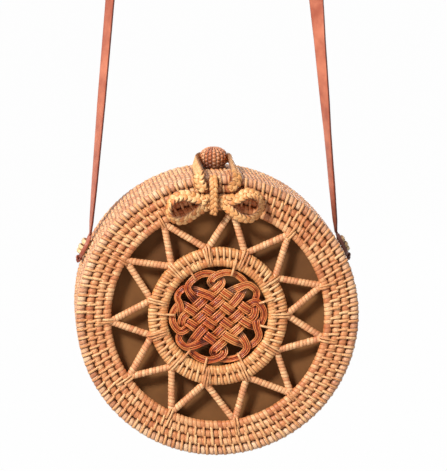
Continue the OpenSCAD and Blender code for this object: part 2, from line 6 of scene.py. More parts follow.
import bpy
import numpy as np
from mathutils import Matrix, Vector


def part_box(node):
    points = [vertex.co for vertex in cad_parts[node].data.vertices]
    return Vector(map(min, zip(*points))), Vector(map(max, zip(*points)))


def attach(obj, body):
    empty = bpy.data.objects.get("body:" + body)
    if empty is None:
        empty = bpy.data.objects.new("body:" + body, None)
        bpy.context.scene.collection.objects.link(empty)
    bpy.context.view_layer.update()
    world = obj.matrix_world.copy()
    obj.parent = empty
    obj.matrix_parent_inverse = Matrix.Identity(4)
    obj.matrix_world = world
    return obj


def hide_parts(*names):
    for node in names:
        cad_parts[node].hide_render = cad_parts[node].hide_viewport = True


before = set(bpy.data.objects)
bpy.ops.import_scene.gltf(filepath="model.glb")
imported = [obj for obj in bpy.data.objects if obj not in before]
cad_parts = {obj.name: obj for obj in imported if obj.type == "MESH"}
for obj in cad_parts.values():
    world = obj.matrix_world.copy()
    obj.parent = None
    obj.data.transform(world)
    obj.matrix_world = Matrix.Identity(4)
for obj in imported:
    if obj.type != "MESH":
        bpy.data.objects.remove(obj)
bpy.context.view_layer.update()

# ---------------- sizes
MM = 0.001
TAU = 2 * math.pi
BAG_R, HALF_DEPTH, SEAM_GAP = 100.0, 40.0, 0.3
COIL_R = 3.05
WALL_R = BAG_R - COIL_R
CORNER_A = HALF_DEPTH - COIL_R
EDGE_A = SEAM_GAP / 2 + COIL_R
WALL_ROWS, FACE_ROWS, RING_ROWS, FACE_PITCH = 6, 15, 3, 6.05
INNER_COIL_R, INNER_COILS = 3.5, (39.14, 46.0)
INNER_R = INNER_COILS[1] + INNER_COIL_R
OPENING_R = 75.6
# degrees round the bag at which the star's points meet the broad ring and the inner ring
OUTER_POINTS = [16.1, 49.2, 82.3, 119.8, 148.1, 182.3, 214.1, 244.3, 278.9, 312.7, 347.6]
INNER_POINTS = [33.7, 66.7, 98.8, 132.3, 165.5, 196, 227.4, 259.3, 294.9, 328.8, 360.4]

wall_low, wall_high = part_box("lid_wall")
BAG = np.array([0.0, wall_high[1] / MM + SEAM_GAP / 2, (wall_low[2] + wall_high[2]) / 2 / MM])
BACK, FRONT = np.array([0, 1.0, 0]), np.array([0, -1.0, 0])
SIDES = (("left", -1), ("right", 1))

rng = np.random.default_rng(7)


# ---------------- meshes
def new_object(name, data):
    thing = bpy.data.objects.new(name, data)
    bpy.context.scene.collection.objects.link(thing)
    return thing


class Weave:
    """Collects grids of points, in the bag's frame, into one piece. UV u is the strip's number plus
    the place across it, and v is the place along the fibres in millimetres."""

    def __init__(self):
        self.points, self.quads, self.uvs, self.caps, self.hollows = [], [], [], [], []
        self.count = 0

    def grid(self, p, u, v, closed, hollow=None):
        """Adds an n by m grid of points p. Each way round that isn't closed gets a face at either
        end. u and v are (n + closed, m + closed) arrays, and the last array is painted shade: how
        much each point is darkened as though in shade, 1 where it lies deep between two coils. The
        faces are turned so that the enclosed volume is positive."""
        n, m = p.shape[:2]
        i, j = np.meshgrid(np.arange(n if closed[0] else n - 1), np.arange(m if closed[1] else m - 1),
                           indexing="ij")
        i2, j2 = (i + 1) % n, (j + 1) % m
        quads = np.stack([i * m + j, i2 * m + j, i2 * m + j2, i * m + j2], -1).reshape(-1, 4)
        uv = np.stack([np.stack([k[i, j], k[i + 1, j], k[i + 1, j + 1], k[i, j + 1]], -1)
                       for k in (u, v)], -1).reshape(-1, 4, 2)
        flat = p.reshape(-1, 3)
        a, b, c, d = (flat[quads[:, k]] - flat.mean(0) for k in range(4))
        turn = -1 if (a * (np.cross(b, c) + np.cross(c, d))).sum() < 0 else 1
        row, column = np.arange(m), np.arange(n) * m
        ends = [] if closed[0] else [(row, u[0], v[0]), (row[::-1] + (n - 1) * m, u[-1], v[-1])]
        if not closed[1]:
            ends += [(column[::-1], u[:, 0], v[:, 0]), (column + m - 1, u[:, -1], v[:, -1])]
        for ring, ring_u, ring_v in ends:
            self.caps.append((ring[::turn] + self.count, np.floor(ring_u.mean()) + 0.5, ring_v.mean()))
        self.points.append(flat)
        self.quads.append(quads[:, ::turn] + self.count)
        self.uvs.append(uv[:, ::turn])
        self.hollows.append(np.zeros(n * m) if hollow is None else hollow.ravel())
        self.count += n * m
        return self

    def piece(self, name, material, body, slot, replaces=()):
        """Makes the mesh object at the origin, in metres and in the row's frame, gives it its material
        and its body, and hides the solids that it stands for. The slot is not used."""
        points = (np.concatenate(self.points) + BAG) * MM
        quads = np.concatenate(self.quads)
        loops = np.concatenate([quads.ravel()] + [ring for ring, u, v in self.caps])
        sizes = np.concatenate([np.full(len(quads), 4), [len(ring) for ring, u, v in self.caps]])
        uvs = np.concatenate([np.concatenate(self.uvs).reshape(-1, 2)]
                             + [np.tile([u, v], (len(ring), 1)) for ring, u, v in self.caps])
        mesh = bpy.data.meshes.new(name)
        mesh.vertices.add(len(points))
        mesh.vertices.foreach_set("co", points.astype(np.float32).ravel())
        mesh.loops.add(len(loops))
        mesh.loops.foreach_set("vertex_index", loops.astype(np.int32))
        mesh.polygons.add(len(sizes))
        mesh.polygons.foreach_set("loop_start", (np.cumsum(sizes) - sizes).astype(np.int32))
        mesh.update(calc_edges=True)
        mesh.uv_layers.new(name="strip").data.foreach_set("uv", uvs.astype(np.float32).ravel())
        # each point's painted shade, by which the materials darken its colour as though it lay in shade
        mesh.attributes.new("hollow", "FLOAT", "POINT").data.foreach_set(
            "value", np.concatenate(self.hollows).astype(np.float32))
        mesh.polygons.foreach_set("use_smooth", np.ones(len(sizes), dtype=bool))
        mesh.update()
        mesh.materials.append(material)
        piece = new_object(name, mesh)
        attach(piece, body)
        if replaces:
            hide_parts(*replaces)
        return piece


def unit(v):
    return v / np.maximum(np.linalg.norm(v, axis=-1, keepdims=True), 1e-9)


def smooth(v):
    """0 to 1 with level ends."""
    v = np.clip(v, 0, 1)
    return v * v * (3 - 2 * v)


def polar(r, deg):
    return np.stack([r * np.cos(np.radians(deg)), r * np.sin(np.radians(deg))], -1)


def round_bag(r, a, t, out=-1):
    """Places r from the bag's axis, a from the seam and t radians round it. out is -1 on the lid
    and 1 on the back."""
    r, a, t = np.broadcast_arrays(r, a, t)
    return np.stack([r * np.cos(t), out * a, r * np.sin(t)], -1)


def curve_through(places, steps, closed=False):
    """Catmull-Rom curve: each stretch is the cubic whose ends' slopes are half the chord between
    the neighbours."""
    p = np.asarray(places, dtype=float)
    n = len(p)
    count = n if closed else n - 1
    i = np.repeat(np.arange(count), steps)
    f = np.tile(np.arange(steps) / steps, count)[:, None]
    a, b, c, d = (p[(i + k) % n if closed else np.clip(i + k, 0, n - 1)] for k in (-1, 0, 1, 2))
    out = b + 0.5 * ((c - a) * f + (2 * a - 5 * b + 4 * c - d) * f**2 + (3 * b - a - 3 * c + d) * f**3)
    return out if closed else np.vstack([out, p[-1:]])


def evenly(path, spacing, closed=False):
    """The same path with its points spread evenly along its length, and how far along they lie."""
    q = np.vstack([path, path[:1]]) if closed else path
    s = np.append(0, np.cumsum(np.linalg.norm(np.diff(q[:, :3], axis=0), axis=1)))
    n = max(4, int(round(s[-1] / spacing)))
    at = np.linspace(0, s[-1], n + 1)
    out = np.stack([np.interp(at, s, q[:, k]) for k in range(q.shape[1])], 1)
    return (out[:-1], at[:-1]) if closed else (out, at)


def frames(path, face, closed=False):
    """Side and up vectors of a path whose flat side faces the vector given at each point."""
    along = unit(np.roll(path, -1, 0) - np.roll(path, 1, 0) if closed else np.gradient(path, axis=0))
    side = unit(np.cross(face, along))
    return side, np.cross(along, side)


def outline(w, t, m, power=2.6):
    """Rounded flat section: a superellipse of width w and thickness t with m points."""
    q = TAU * (np.arange(m) + 0.5) / m
    c, s = np.cos(q), np.sin(q)
    return np.stack([np.sign(c) * np.abs(c) ** (2 / power) * w / 2,
                     np.sign(s) * np.abs(s) ** (2 / power) * t / 2], 1)


def carry(weave, path, side, up, section, strip, closed=False, taper=1.0, broad=1.0, hollow=0.0):
    """Carries a section along a path: point = path + (side * x * broad + up * y) * taper. The last
    argument is painted shade: how much each place of the path is darkened as though in shade."""
    n, m = len(path), len(section)
    taper, broad, hollow = (np.broadcast_to(k, n)[:, None] for k in (taper, broad, hollow))
    x, y = section.T
    x, y = (x * broad * taper)[..., None], (y * taper)[..., None]
    p = path[:, None] + side[:, None] * x + up[:, None] * y
    step = np.linalg.norm(np.diff(path, axis=0), axis=1)
    s = np.append(0, np.cumsum(step))
    if closed:
        s = np.append(s, s[-1] + step.mean())
    across = 0.5 + 0.48 * np.append(section[:, 0], section[0, 0]) / np.abs(section[:, 0]).max()
    u, v = np.tile(strip + across, (len(s), 1)), np.tile(s[:, None], (1, m + 1))
    return weave.grid(p, u, v, (closed, True), np.tile(hollow, (1, m)))


# ---------------- materials
def srgb(*colour):
    """Screen colour 0 to 255 to linear."""
    return tuple(c / 12.92 if c <= 0.04045 else ((c + 0.055) / 1.055) ** 2.4
                 for c in (k / 255 for k in colour)) + (1.0,)


class Sock:
    """A shader socket with arithmetic: an expression on values adds its Math nodes."""

    def __init__(self, tree, out):
        self.tree, self.out = tree, out

    def node(self, kind, settings=None, stops=None, out=0, **values):
        """Any node, by its type: its settings first, then its inputs by name with _ for spaces, or
        by number after an i."""
        n = self.tree.nodes.new(kind)
        for key, value in (settings or {}).items():
            setattr(n, key, value)
        if stops:
            ramp = n.color_ramp
            while len(ramp.elements) < len(stops):
                ramp.elements.new(0.5)
            for e, (at, colour) in zip(ramp.elements, stops):
                e.position, e.color = at, colour
        for key, value in values.items():
            numbered = key[0] == "i" and key[1:].isdigit()
            socket = n.inputs[int(key[1:]) if numbered else key.replace("_", " ")]
            if isinstance(value, Sock):
                self.tree.links.new(value.out, socket)
            else:
                socket.default_value = value
        return Sock(self.tree, n.outputs[out])

    def other(self, name):
        """Another output of the same node."""
        return Sock(self.tree, self.out.node.outputs[name])

    def math(self, operation, *args):
        return self.node("ShaderNodeMath", {"operation": operation},
                         **{f"i{k}": a for k, a in enumerate(args)})

    def __add__(self, o): return self.math("ADD", self, o)
    def __radd__(self, o): return self.math("ADD", o, self)
    def __sub__(self, o): return self.math("SUBTRACT", self, o)
    def __rsub__(self, o): return self.math("SUBTRACT", o, self)
    def __mul__(self, o): return self.math("MULTIPLY", self, o)

    def floor(self): return self.math("FLOOR", self)
    def fract(self): return self.math("FRACT", self)
    def absolute(self): return self.math("ABSOLUTE", self)
    def sine(self): return self.math("SINE", self)
    def least(self, o): return self.math("MINIMUM", self, o)

    def ease(self, low, high):
        """0 below low, 1 above high, smooth between."""
        return self.node("ShaderNodeMapRange", {"interpolation_type": "SMOOTHSTEP"},
                         Value=self, From_Min=low, From_Max=high)

    def mix(self, a, b):
        """Colour a where this value is 0, b where it is 1."""
        return self.node("ShaderNodeMix", {"data_type": "RGBA"}, out=2, i0=self, i6=a, i7=b)

    def strip_uv(self):
        """The piece's own UV, as u and v."""
        u = self.node("ShaderNodeSeparateXYZ", Vector=self.node("ShaderNodeUVMap", {"uv_map": "strip"}))
        return u, u.other("Y")

    def place(self):
        return self.node("ShaderNodeTexCoord", out=3)

    def noise(self, at, scale, detail, rough=0.5):
        return self.node("ShaderNodeTexNoise", Vector=at, Scale=scale, Detail=detail, Roughness=rough)

    # painted shade: the mesh's mark of how much each point is darkened as though in shade
    def hollow(self):
        return self.node("ShaderNodeAttribute", {"attribute_name": "hollow"}, out=2)


def finish_material(name, colour_of, bump=0.35, distance=0.0004, **constants):
    """A Principled material. colour_of(start) gives colour, roughness and height sockets, and the
    constants are the shader's inputs by name with _ for spaces."""
    material = bpy.data.materials.new(name)
    material.use_nodes = True
    tree = material.node_tree
    tree.nodes.clear()
    start = Sock(tree, None)
    colour, rough, height = colour_of(start)
    normal = start.node("ShaderNodeBump", Strength=bump, Distance=distance, Height=height)
    shader = start.node("ShaderNodeBsdfPrincipled", Base_Color=colour, Roughness=rough, Normal=normal,
                        **constants)
    tree.links.new(shader.out, tree.nodes.new("ShaderNodeOutputMaterial").inputs["Surface"])
    return material


def cane(name, pale, middle, deep, groove, seam=None, edge=0.33, streak=0.5, rough=0.42, coat=0.15,
         gloss=0.35, blotch=0.5, specular=0.5):
    """Split rattan: each strip has its own tone, fibres run along it, and its edges fall into
    dark gaps. Larger soft patches of colour run over many strips. Where the mesh marks painted
    shade, the colour is darkened towards the shade colour, as though in shade."""
    pale, middle, deep, groove, seam = (srgb(*k) for k in (pale, middle, deep, groove, seam or groove))

    def colour_of(start):
        u, v = start.strip_uv()
        strip, across = u.floor(), u.fract() - 0.5
        tone = start.node("ShaderNodeTexWhiteNoise", {"noise_dimensions": "1D"}, W=strip + 0.37)
        patch = start.noise(start.place(), 38.0, 3.0, 0.6)
        fibre_at = start.node("ShaderNodeCombineXYZ", X=across * 9.0, Y=v * 0.16, Z=strip * 3.7)
        along_at = start.node("ShaderNodeCombineXYZ", X=across * 1.5, Y=v * 0.5, Z=strip * 1.3)
        along = start.noise(along_at, 1.0, 2.0)
        shade = tone * 0.75 + (patch - 0.5) * (2.2 * blotch) + (along - 0.5) * 0.9 + 0.12
        colour = start.node("ShaderNodeValToRGB", stops=[(0.0, deep), (0.42, middle), (1.0, pale)],
                            Fac=shade)
        lines = start.noise(fibre_at, 1.6, 4.0, 0.62).ease(0.30, 0.62)
        colour = ((1 - lines) * streak).mix(colour, deep)
        gap = across.absolute().ease(edge, 0.5)
        colour = (gap * 0.85).mix(colour, seam)
        # painted shade: darkened towards the shade colour where the mesh marks shade, between coils,
        # under the knot's crossings and on the knob
        colour = (start.hollow() * 0.85).mix(colour, groove)
        return colour, rough + (1 - lines) * 0.16 + gap * 0.2, lines * 0.5 + (1 - gap)

    return finish_material(name, colour_of, Coat_Weight=coat, Coat_Roughness=gloss,
                           Specular_IOR_Level=specular)


# the colour that painted shade between the coils darkens the rattan to; on the walls it is also the
# colour of the seams between strips
RATTAN_SHADE_AND_SEAM = (84, 36, 14)
rattan = cane("rattan_wrap", (250, 198, 142), (226, 150, 94), (190, 108, 62), RATTAN_SHADE_AND_SEAM,
              seam=(156, 84, 46), streak=0.4)
wall_rattan = cane("rattan_wall", (254, 214, 170), (234, 174, 128), (188, 116, 76), RATTAN_SHADE_AND_SEAM,
                   edge=0.31)
rod_rattan = cane("rattan_rod", (254, 206, 152), (238, 172, 118), (206, 130, 86), (182, 114, 70),
                  edge=0.3, streak=0.4)
stitch_rattan = cane("rattan_stitch", (252, 204, 146), (236, 168, 108), (204, 128, 74), (120, 60, 24),
                     seam=(150, 84, 42), edge=0.36, streak=0.35, coat=0.25)
braid_rattan = cane("rattan_braid", (255, 206, 142), (236, 166, 96), (196, 110, 52), (84, 32, 9),
                    edge=0.28, coat=0.2)
eye_rattan = cane("rattan_eye", (255, 240, 200), (240, 212, 160), (208, 164, 112), (110, 66, 34),
                  seam=(160, 108, 62), edge=0.38, streak=0.4)
inner_rattan = cane("rattan_inner", (254, 206, 142), (234, 162, 96), (198, 116, 60), RATTAN_SHADE_AND_SEAM,
                    seam=(156, 84, 40), streak=0.4)
knot_rattan = cane("rattan_knot", (255, 166, 92), (220, 96, 32), (136, 42, 10), (48, 11, 3),
                   edge=0.25, streak=0.6, rough=0.36, coat=0.3, gloss=0.2, blotch=1.0, specular=0.35)
knob_rattan = cane("rattan_knob", (255, 188, 134), (210, 122, 70), (130, 56, 26), (40, 10, 4),
                   edge=0.3, rough=0.38, coat=0.3, blotch=0.9)


def cloth_colour(start):
    """Plain-woven cloth: crossing sine ribs 0.9 mm apart on the disc's own UV, with soft patches."""
    u, v = start.strip_uv()
    weave = (u * (TAU / 0.9)).sine() * (v * (TAU / 0.9)).sine() * 0.5 + 0.5
    patch = start.noise(start.place(), 24.0, 4.0, 0.55)
    colour = patch.ease(0.3, 0.7).mix(srgb(108, 68, 33), srgb(138, 92, 48))
    colour = ((1 - weave) * 0.35).mix(colour, srgb(66, 38, 16))
    return colour, 0.86 - weave * 0.06, weave


def leather_colour(start):
    """Dyed leather: a fine grain of cells, darker burnished edges, slow handling marks, and painted
    shade where the mesh marks it, near the eyes and on the right strap end."""
    u, v = start.strip_uv()
    grain = start.node("ShaderNodeTexVoronoi", {"feature": "F1"}, Vector=start.place(), Scale=1500.0)
    marks = start.noise(start.place(), 60.0, 5.0, 0.6)
    colour = marks.ease(0.3, 0.72).mix(srgb(162, 80, 56), srgb(206, 122, 92))
    edge = (u.fract() - 0.5).absolute().ease(0.43, 0.475)
    colour = (edge * 0.95).mix(colour, srgb(88, 26, 12))
    # painted shade: darkened where the mesh marks shade, near the eyes and most on the right
    return start.hollow().mix(colour, srgb(58, 18, 12)), 0.42 + marks * 0.16, grain + marks * 0.6


lining_cloth = finish_material("lining_cloth", cloth_colour, 0.25, 0.0002, Specular_IOR_Level=0.2,
                               Sheen_Weight=0.3)
strap_leather = finish_material("strap_leather", leather_colour, 0.12, 0.0003, Specular_IOR_Level=0.4,
                                Coat_Weight=0.1, Coat_Roughness=0.35)

# ---------------- coils
WRAPS = 2   # turns of the wrapping strip from one stitch to the next
WRAP_SLANT, WRAP_PROUD, WRAP_DOME, WRAP_UNEVEN = 0.35, 0.14, 0.3, 0.07
RING_GRAIN, WALL_GRAIN, BACK_GRAIN, INNER_GRAIN = (8, 16), (6, 10), (5, 9), (6, 16)
STITCH_W, STITCH_T, STITCH_LEAN = 2.0, 0.66, 1.6
STITCH_GAP, INNER_STITCH_GAP = 6.2, 4.6
STITCH_FROM, CORNER_FROM, INNER_FROM = 72.0, 112.0, 80.0   # degrees down its coil's outer side
FACE_LIFT, WALL_LIFT = 0.3, 0.12   # how high a stitch lies on the coils
FACING, OUTWARD = (0.0, 1.0), (1.0, 0.0)


def wrapped_coil(weave, centre, radius, count, out, samples, around, strip, facing, turn, beside):
    """A coil wrapped with flat strips: the section's radius is the coil's, raised in the middle of
    each strip by 1 - |2x|^3, where x runs from -1/2 to 1/2 across the strip, and each strip leans
    a little round the section. beside lists the (r, a) of the coils next to it."""
    n = count * samples
    lift, shift = rng.normal(0, WRAP_UNEVEN, count), rng.normal(0, 0.05, count)
    phi = np.radians(facing + 360.0 * (np.arange(around + 1) + 0.5) / around)
    w = (np.arange(n + 1) / samples)[:, None] + WRAP_SLANT / 2 * np.sin(phi - math.radians(facing))
    index = np.floor(w).astype(int) % count
    x = w - np.floor(w) - 0.5 + shift[index] * 0.5
    high = 1 - np.abs(2 * np.clip(x, -0.5, 0.5)) ** 3
    rho = (radius + WRAP_PROUD - WRAP_DOME * (1 - high) + lift[index] * high)[:-1, :-1]
    t = np.radians(turn + 360.0 * np.arange(n) / n)[:, None]
    c, s = np.cos(phi[:-1]), np.sin(phi[:-1])
    p = round_bag(centre[0] + rho * c, centre[1] + rho * s, t, out)
    # painted shade: the side of the section that faces a neighbouring coil, deep between the two, is
    # marked to be darkened
    towards = np.zeros(around)
    for place in beside:
        e = unit(np.subtract(place, centre))
        towards = np.maximum(towards, smooth((e[0] * c + e[1] * s - 0.7) / 0.28))
    weave.grid(p, strip + w, np.tile(phi * radius, (n + 1, 1)), (True, True),
               np.tile(towards, (n, 1)))


def strip_across(weave, deg, places, steps, section, strip, out=-1, lean=0.0):
    """A flat strip over the coils, through places (r, a), which moves round the bag by the lean in
    radians on its way."""
    r, a = curve_through(places, steps).T
    t = math.radians(deg) + np.linspace(0.5, -0.5, len(r)) * lean
    path = round_bag(r, a, t, out)
    along = unit(np.gradient(path, axis=0))
    up = unit(np.cross(along, np.stack([-np.sin(t), 0 * t, np.cos(t)], 1)))
    carry(weave, path, np.cross(up, along), up, section, strip)


def stitch(weave, deg, here, before, outward, far, out, radius, strip, wide, lift, lean):
    """One binding stitch: from far degrees down the outer side of its own coil, over the furrow
    between the coils and into the top of the coil before it. It moves round the bag by the lean on
    its way."""
    here, before, outward = (np.asarray(k, float) for k in (here, before, outward))
    pitch = here - before
    e = unit(pitch)
    top = radius + lift
    places = [here + reach * (e * math.sin(math.radians(q)) + outward * math.cos(math.radians(q)))
              for reach, q in ((radius - 0.2, far), (top, far * 0.55), (top, 0.0))]
    places += [here - pitch * share + outward * high
               for share, high in ((0.42, top - 0.4), (0.66, top - 0.45), (0.84, radius - 0.7))]
    strip_across(weave, deg, places, 2, outline(wide, STITCH_T, 6), strip, out, lean / here[0])


def stitched_rows(weave, stitches, rows, out, samples, around, strip, gap=STITCH_GAP, radius=COIL_R,
                  join_first=None, join_last=None):
    """Rows of wrapped coils, each bound to the row before it with a stitch every gap. rows lists
    (place, outward, the angle at which its stitches start)."""
    turn = 0.0
    previous = join_first
    for row, (place, outward, far) in enumerate(rows):
        binders = int(round(TAU * place[0] / gap))
        after = rows[row + 1][0] if row + 1 < len(rows) else join_last
        wrapped_coil(weave, place, radius, binders * WRAPS, out, samples, around, strip,
                     math.degrees(math.atan2(*outward[::-1])), turn,
                     [k for k in (previous, after) if k])
        strip += binders * WRAPS + 7
        if previous is not None:
            for k in range(binders):
                deg = turn + 360.0 * (k + 0.5 / WRAPS + rng.normal(0, 0.035)) / binders
                stitch(stitches, deg, place, previous, outward, far, out, radius, strip + k,
                       wide=STITCH_W + rng.normal(0, 0.15), lift=FACE_LIFT if outward[1] else WALL_LIFT,
                       lean=rng.normal(STITCH_LEAN, 0.35))
        strip += binders + 3
        previous = place
        turn += 180.0 / binders
    return strip


wall_pitch = (CORNER_A - EDGE_A) / WALL_ROWS
face = [((k * FACE_PITCH, CORNER_A), FACING, STITCH_FROM) for k in range(1, FACE_ROWS + 1)]
corner = [((WALL_R, CORNER_A), FACING, CORNER_FROM)]
wall = [((WALL_R, CORNER_A - k * wall_pitch), OUTWARD, STITCH_FROM) for k in range(1, WALL_ROWS + 1)]
last_face, corner_at, first_wall = face[-1][0], corner[0][0], wall[0][0]


def half(name, out, body, face_node, face_material, rows, face_grain, corner_grain, strip):
    """Face, corner coil and wall of one half, with all their stitches. A grain is the number of
    points along a wrapping strip and round a coil."""
    face_weave, wall_weave, stitches = Weave(), Weave(), Weave()
    strip = stitched_rows(face_weave, stitches, rows, out, *face_grain, strip, join_last=corner_at)
    face_weave.piece(f"{face_node}_coils", face_material, body, "rattan", [face_node])
    strip = stitched_rows(wall_weave, stitches, corner, out, *corner_grain, strip,
                          join_first=last_face, join_last=first_wall)
    strip = stitched_rows(wall_weave, stitches, wall, out, *WALL_GRAIN, strip, join_first=corner_at)
    wall_weave.piece(f"{name}_wall_coils", wall_rattan, body, "rattan", [f"{name}_wall"])
    stitches.piece(f"{name}_stitches", stitch_rattan, body, "rattan")
    return strip


strip = half("lid", -1, "lid", "lid_ring", rattan, face[-RING_ROWS:], RING_GRAIN, RING_GRAIN, 0)
strip = half("back", 1, "back_shell", "back_face", wall_rattan, face, BACK_GRAIN, WALL_GRAIN, strip)

inner_weave, inner_stitches = Weave(), Weave()
inner_rows = [((r, CORNER_A), FACING, far) for r, far in zip(INNER_COILS, (STITCH_FROM, INNER_FROM))]
strip = stitched_rows(inner_weave, inner_stitches, inner_rows, -1, *INNER_GRAIN, strip,
                      gap=INNER_STITCH_GAP, radius=INNER_COIL_R)
inner_weave.piece("inner_ring_coils", inner_rattan, "lid", "rattan", ["inner_ring"])
inner_stitches.piece("inner_ring_stitches", stitch_rattan, "lid", "rattan")

# ---------------- star
ROD_D, ROD_R, ROD_RISE, ROD_PITCH, ROD_GAP = 4.8, 2.16, 0.28, 2.55, 0.9
ROD_TURNS = 400


def star_rod(number, outer_deg, inner_deg, strip):
    """A rod wound with one strip: its radius is raised in the middle of each turn of a helix."""
    start, end = polar(OPENING_R + ROD_GAP, outer_deg), polar(INNER_R - ROD_GAP, inner_deg)
    run = end - start
    length = np.linalg.norm(run)
    n, m = int(length / ROD_PITCH * 7), 14
    s = np.linspace(0, length, n)[:, None]
    phi = TAU * np.arange(m + 1) / m
    w = s / ROD_PITCH + phi / TAU
    wobble = rng.normal(0, 0.05, ROD_TURNS)
    rho = ROD_R + ROD_RISE * (1 - np.abs(2 * (w - np.floor(w) - 0.5)) ** 3)
    rho = (rho + wobble[np.floor(w).astype(int) % ROD_TURNS])[:, :-1, None]
    along = np.array([run[0], 0, run[1]]) / length
    side = np.array([-along[2], 0, along[0]])
    round_rod = np.cos(phi[:-1, None]) * side + np.sin(phi[:-1, None]) * FRONT
    p = (np.array([start[0], -CORNER_A, start[1]]) + s * along)[:, None] + rho * round_rod
    weave = Weave().grid(p, strip + w, np.tile(phi * ROD_D / 2, (n, 1)), (False, True))
    weave.piece(f"rod_{number:02d}", rod_rattan, "lid", "rattan", [f"star_rod_{number:02d}"])


points = len(OUTER_POINTS)
for i in range(2 * points):
    star_rod(i + 1, OUTER_POINTS[(i + 1) // 2 % points], INNER_POINTS[i // 2], strip)
    strip += 40


# places of the lashings: how far over the ring from its edge, and how high over its lashed top
LASH_LIFT = 0.75
LONG_LASH = [(-2.0, -4.8), (-1.8, -1.8), (0.6, -0.5), (3.2, 0.1), (6.4, -0.3)]
LONG_LASH_END = [(9.4, 0.0), (11.6, -1.4)]
SHORT_LASH = [(-2.0, -4.8), (-1.8, -1.8), (0.6, -0.6), (3.3, -0.1), (6.0, -1.2)]
INNER_LASH = [(-1.9, -5.25), (-1.7, -2.05), (0.7, -0.5), (3.5, 0.1), (6.6, -0.5), (9.7, -0.1),
              (11.9, -1.3)]

lashes = Weave()
top = CORNER_A + COIL_R + LASH_LIFT
for deg in OUTER_POINTS:
    reach = rng.uniform(-0.6, 0.6)
    far = [(over + reach, high) for over, high in LONG_LASH_END]
    for shift, places, wide, thick in ((rng.uniform(-0.3, 0.3), LONG_LASH + far, 1.5, 0.7),
                                       (rng.choice([-1.4, 1.4]), SHORT_LASH, 1.7, 0.6)):
        strip_across(lashes, deg + shift, [(OPENING_R + over, top + high) for over, high in places],
                     4, outline(wide, thick, 8), strip)
        strip += 1
lashes.piece("outer_lashes", stitch_rattan, "lid", "pale_rattan", ["outer_lashings"])
lashes = Weave()
top = CORNER_A + INNER_COIL_R + LASH_LIFT
for deg in INNER_POINTS:
    for shift, wide in ((-1.2, 1.6), (1.3, 1.5)):
        strip_across(lashes, deg + shift, [(INNER_R - over, top + high) for over, high in INNER_LASH],
                     4, outline(wide, 0.7, 8), strip)
        strip += 1
lashes.piece("inner_lashes", stitch_rattan, "lid", "pale_rattan", ["inner_lashings"])

# ---------------- centre knot
KNOT_R = 35.24
BUNDLE_W = 0.1468 * KNOT_R
WEAVE_H = 0.9
RISING, FALLING = 41.0, 143.0
UP, LEFT = polar(1, RISING), polar(1, FALLING)
KNOT_A = CORNER_A + WEAVE_H + 0.6
RISING_SHARE = [-0.4548, -0.2418, 0.0086, 0.2274, 0.449]
FALLING_SHARE = [-0.449, -0.213, -0.0115, 0.2389, 0.4577]
MEET_DEG = [49.5, 93, 137, 162, 201, 226.5, 271, 314, 344.5, 381.5]
MEET_SHARE = [0.832, 0.835, 0.832, 0.803, 0.803] * 2
SWING_DEG, SWING_SHARE, RIM_SHARE = 8.8, 0.72, 0.912
CANES, CANE_W, CANE_T, CANE_SPREAD = 5, 1.04, 1.2, 0.3
TIE_DEG = (17.9, 72.4, 121, 176.6, 229.8, 254.7, 297.3, 347.5)


def row_place(end, k):
    """The row that comes in from an end: its crossing number k, from that end. The ends are
    numbered round the rim, five rising, five falling, five rising and five falling. The rising row
    at share d of the radius and the falling row at share e cross at (d left + e up) / sin."""
    quarter, n = divmod(end, 5)
    rising, falling = ((n, 4 - k), (4 - k, 4 - n), (4 - n, k), (k, n))[quarter]
    d, e = RISING_SHARE[rising], FALLING_SHARE[falling]
    return KNOT_R * (d * LEFT + e * UP) / math.sin(math.radians(FALLING - RISING))


def turn_places(end):
    """Places along the rim from one end to the third end on, with their phases."""
    ahead = end % 2 == 0
    k = (end if ahead else (end + 17) % 20) // 2
    a, b = ((k + 9) % 10, k) if ahead else (k, (k + 9) % 10)
    sweep = (MEET_DEG[b] - MEET_DEG[a] + 180) % 360 - 180
    swing = math.copysign(SWING_DEG, sweep)
    out = [(MEET_SHARE[a], 0, 1), (RIM_SHARE, sweep / 3, 4 / 3), (RIM_SHARE, sweep * 2 / 3, 5 / 3),
           (MEET_SHARE[b], sweep, 2)]
    if a % 5 == 1:
        out.insert(0, (SWING_SHARE, -swing, 0.5))
    if b % 5 == 1:
        out.append((SWING_SHARE, sweep + swing, 2.5))
    return [(*polar(share * KNOT_R, MEET_DEG[a] + deg), phase) for share, deg, phase in out]


def knot_line(steps=9):
    """Closed centre line of the knot as (x, z, phase)."""
    places, end, phase = [], 0, 0
    while not places or end:
        places += [(*row_place(end, k), phase + k) for k in range(5)]
        out = (14 if end // 5 % 2 == 0 else 24) - end
        places += [(x, z, phase + 4 + f) for x, z, f in turn_places(out)]
        end = (out + (3 if out % 2 == 0 else 17)) % 20
        phase += 7
    p = np.array(places)
    xz = curve_through(p[:, :2], steps, closed=True)
    at = np.append(p[:, 2], phase)
    return np.column_stack([xz, np.interp(np.arange(len(xz)) / steps, np.arange(len(at)), at)])


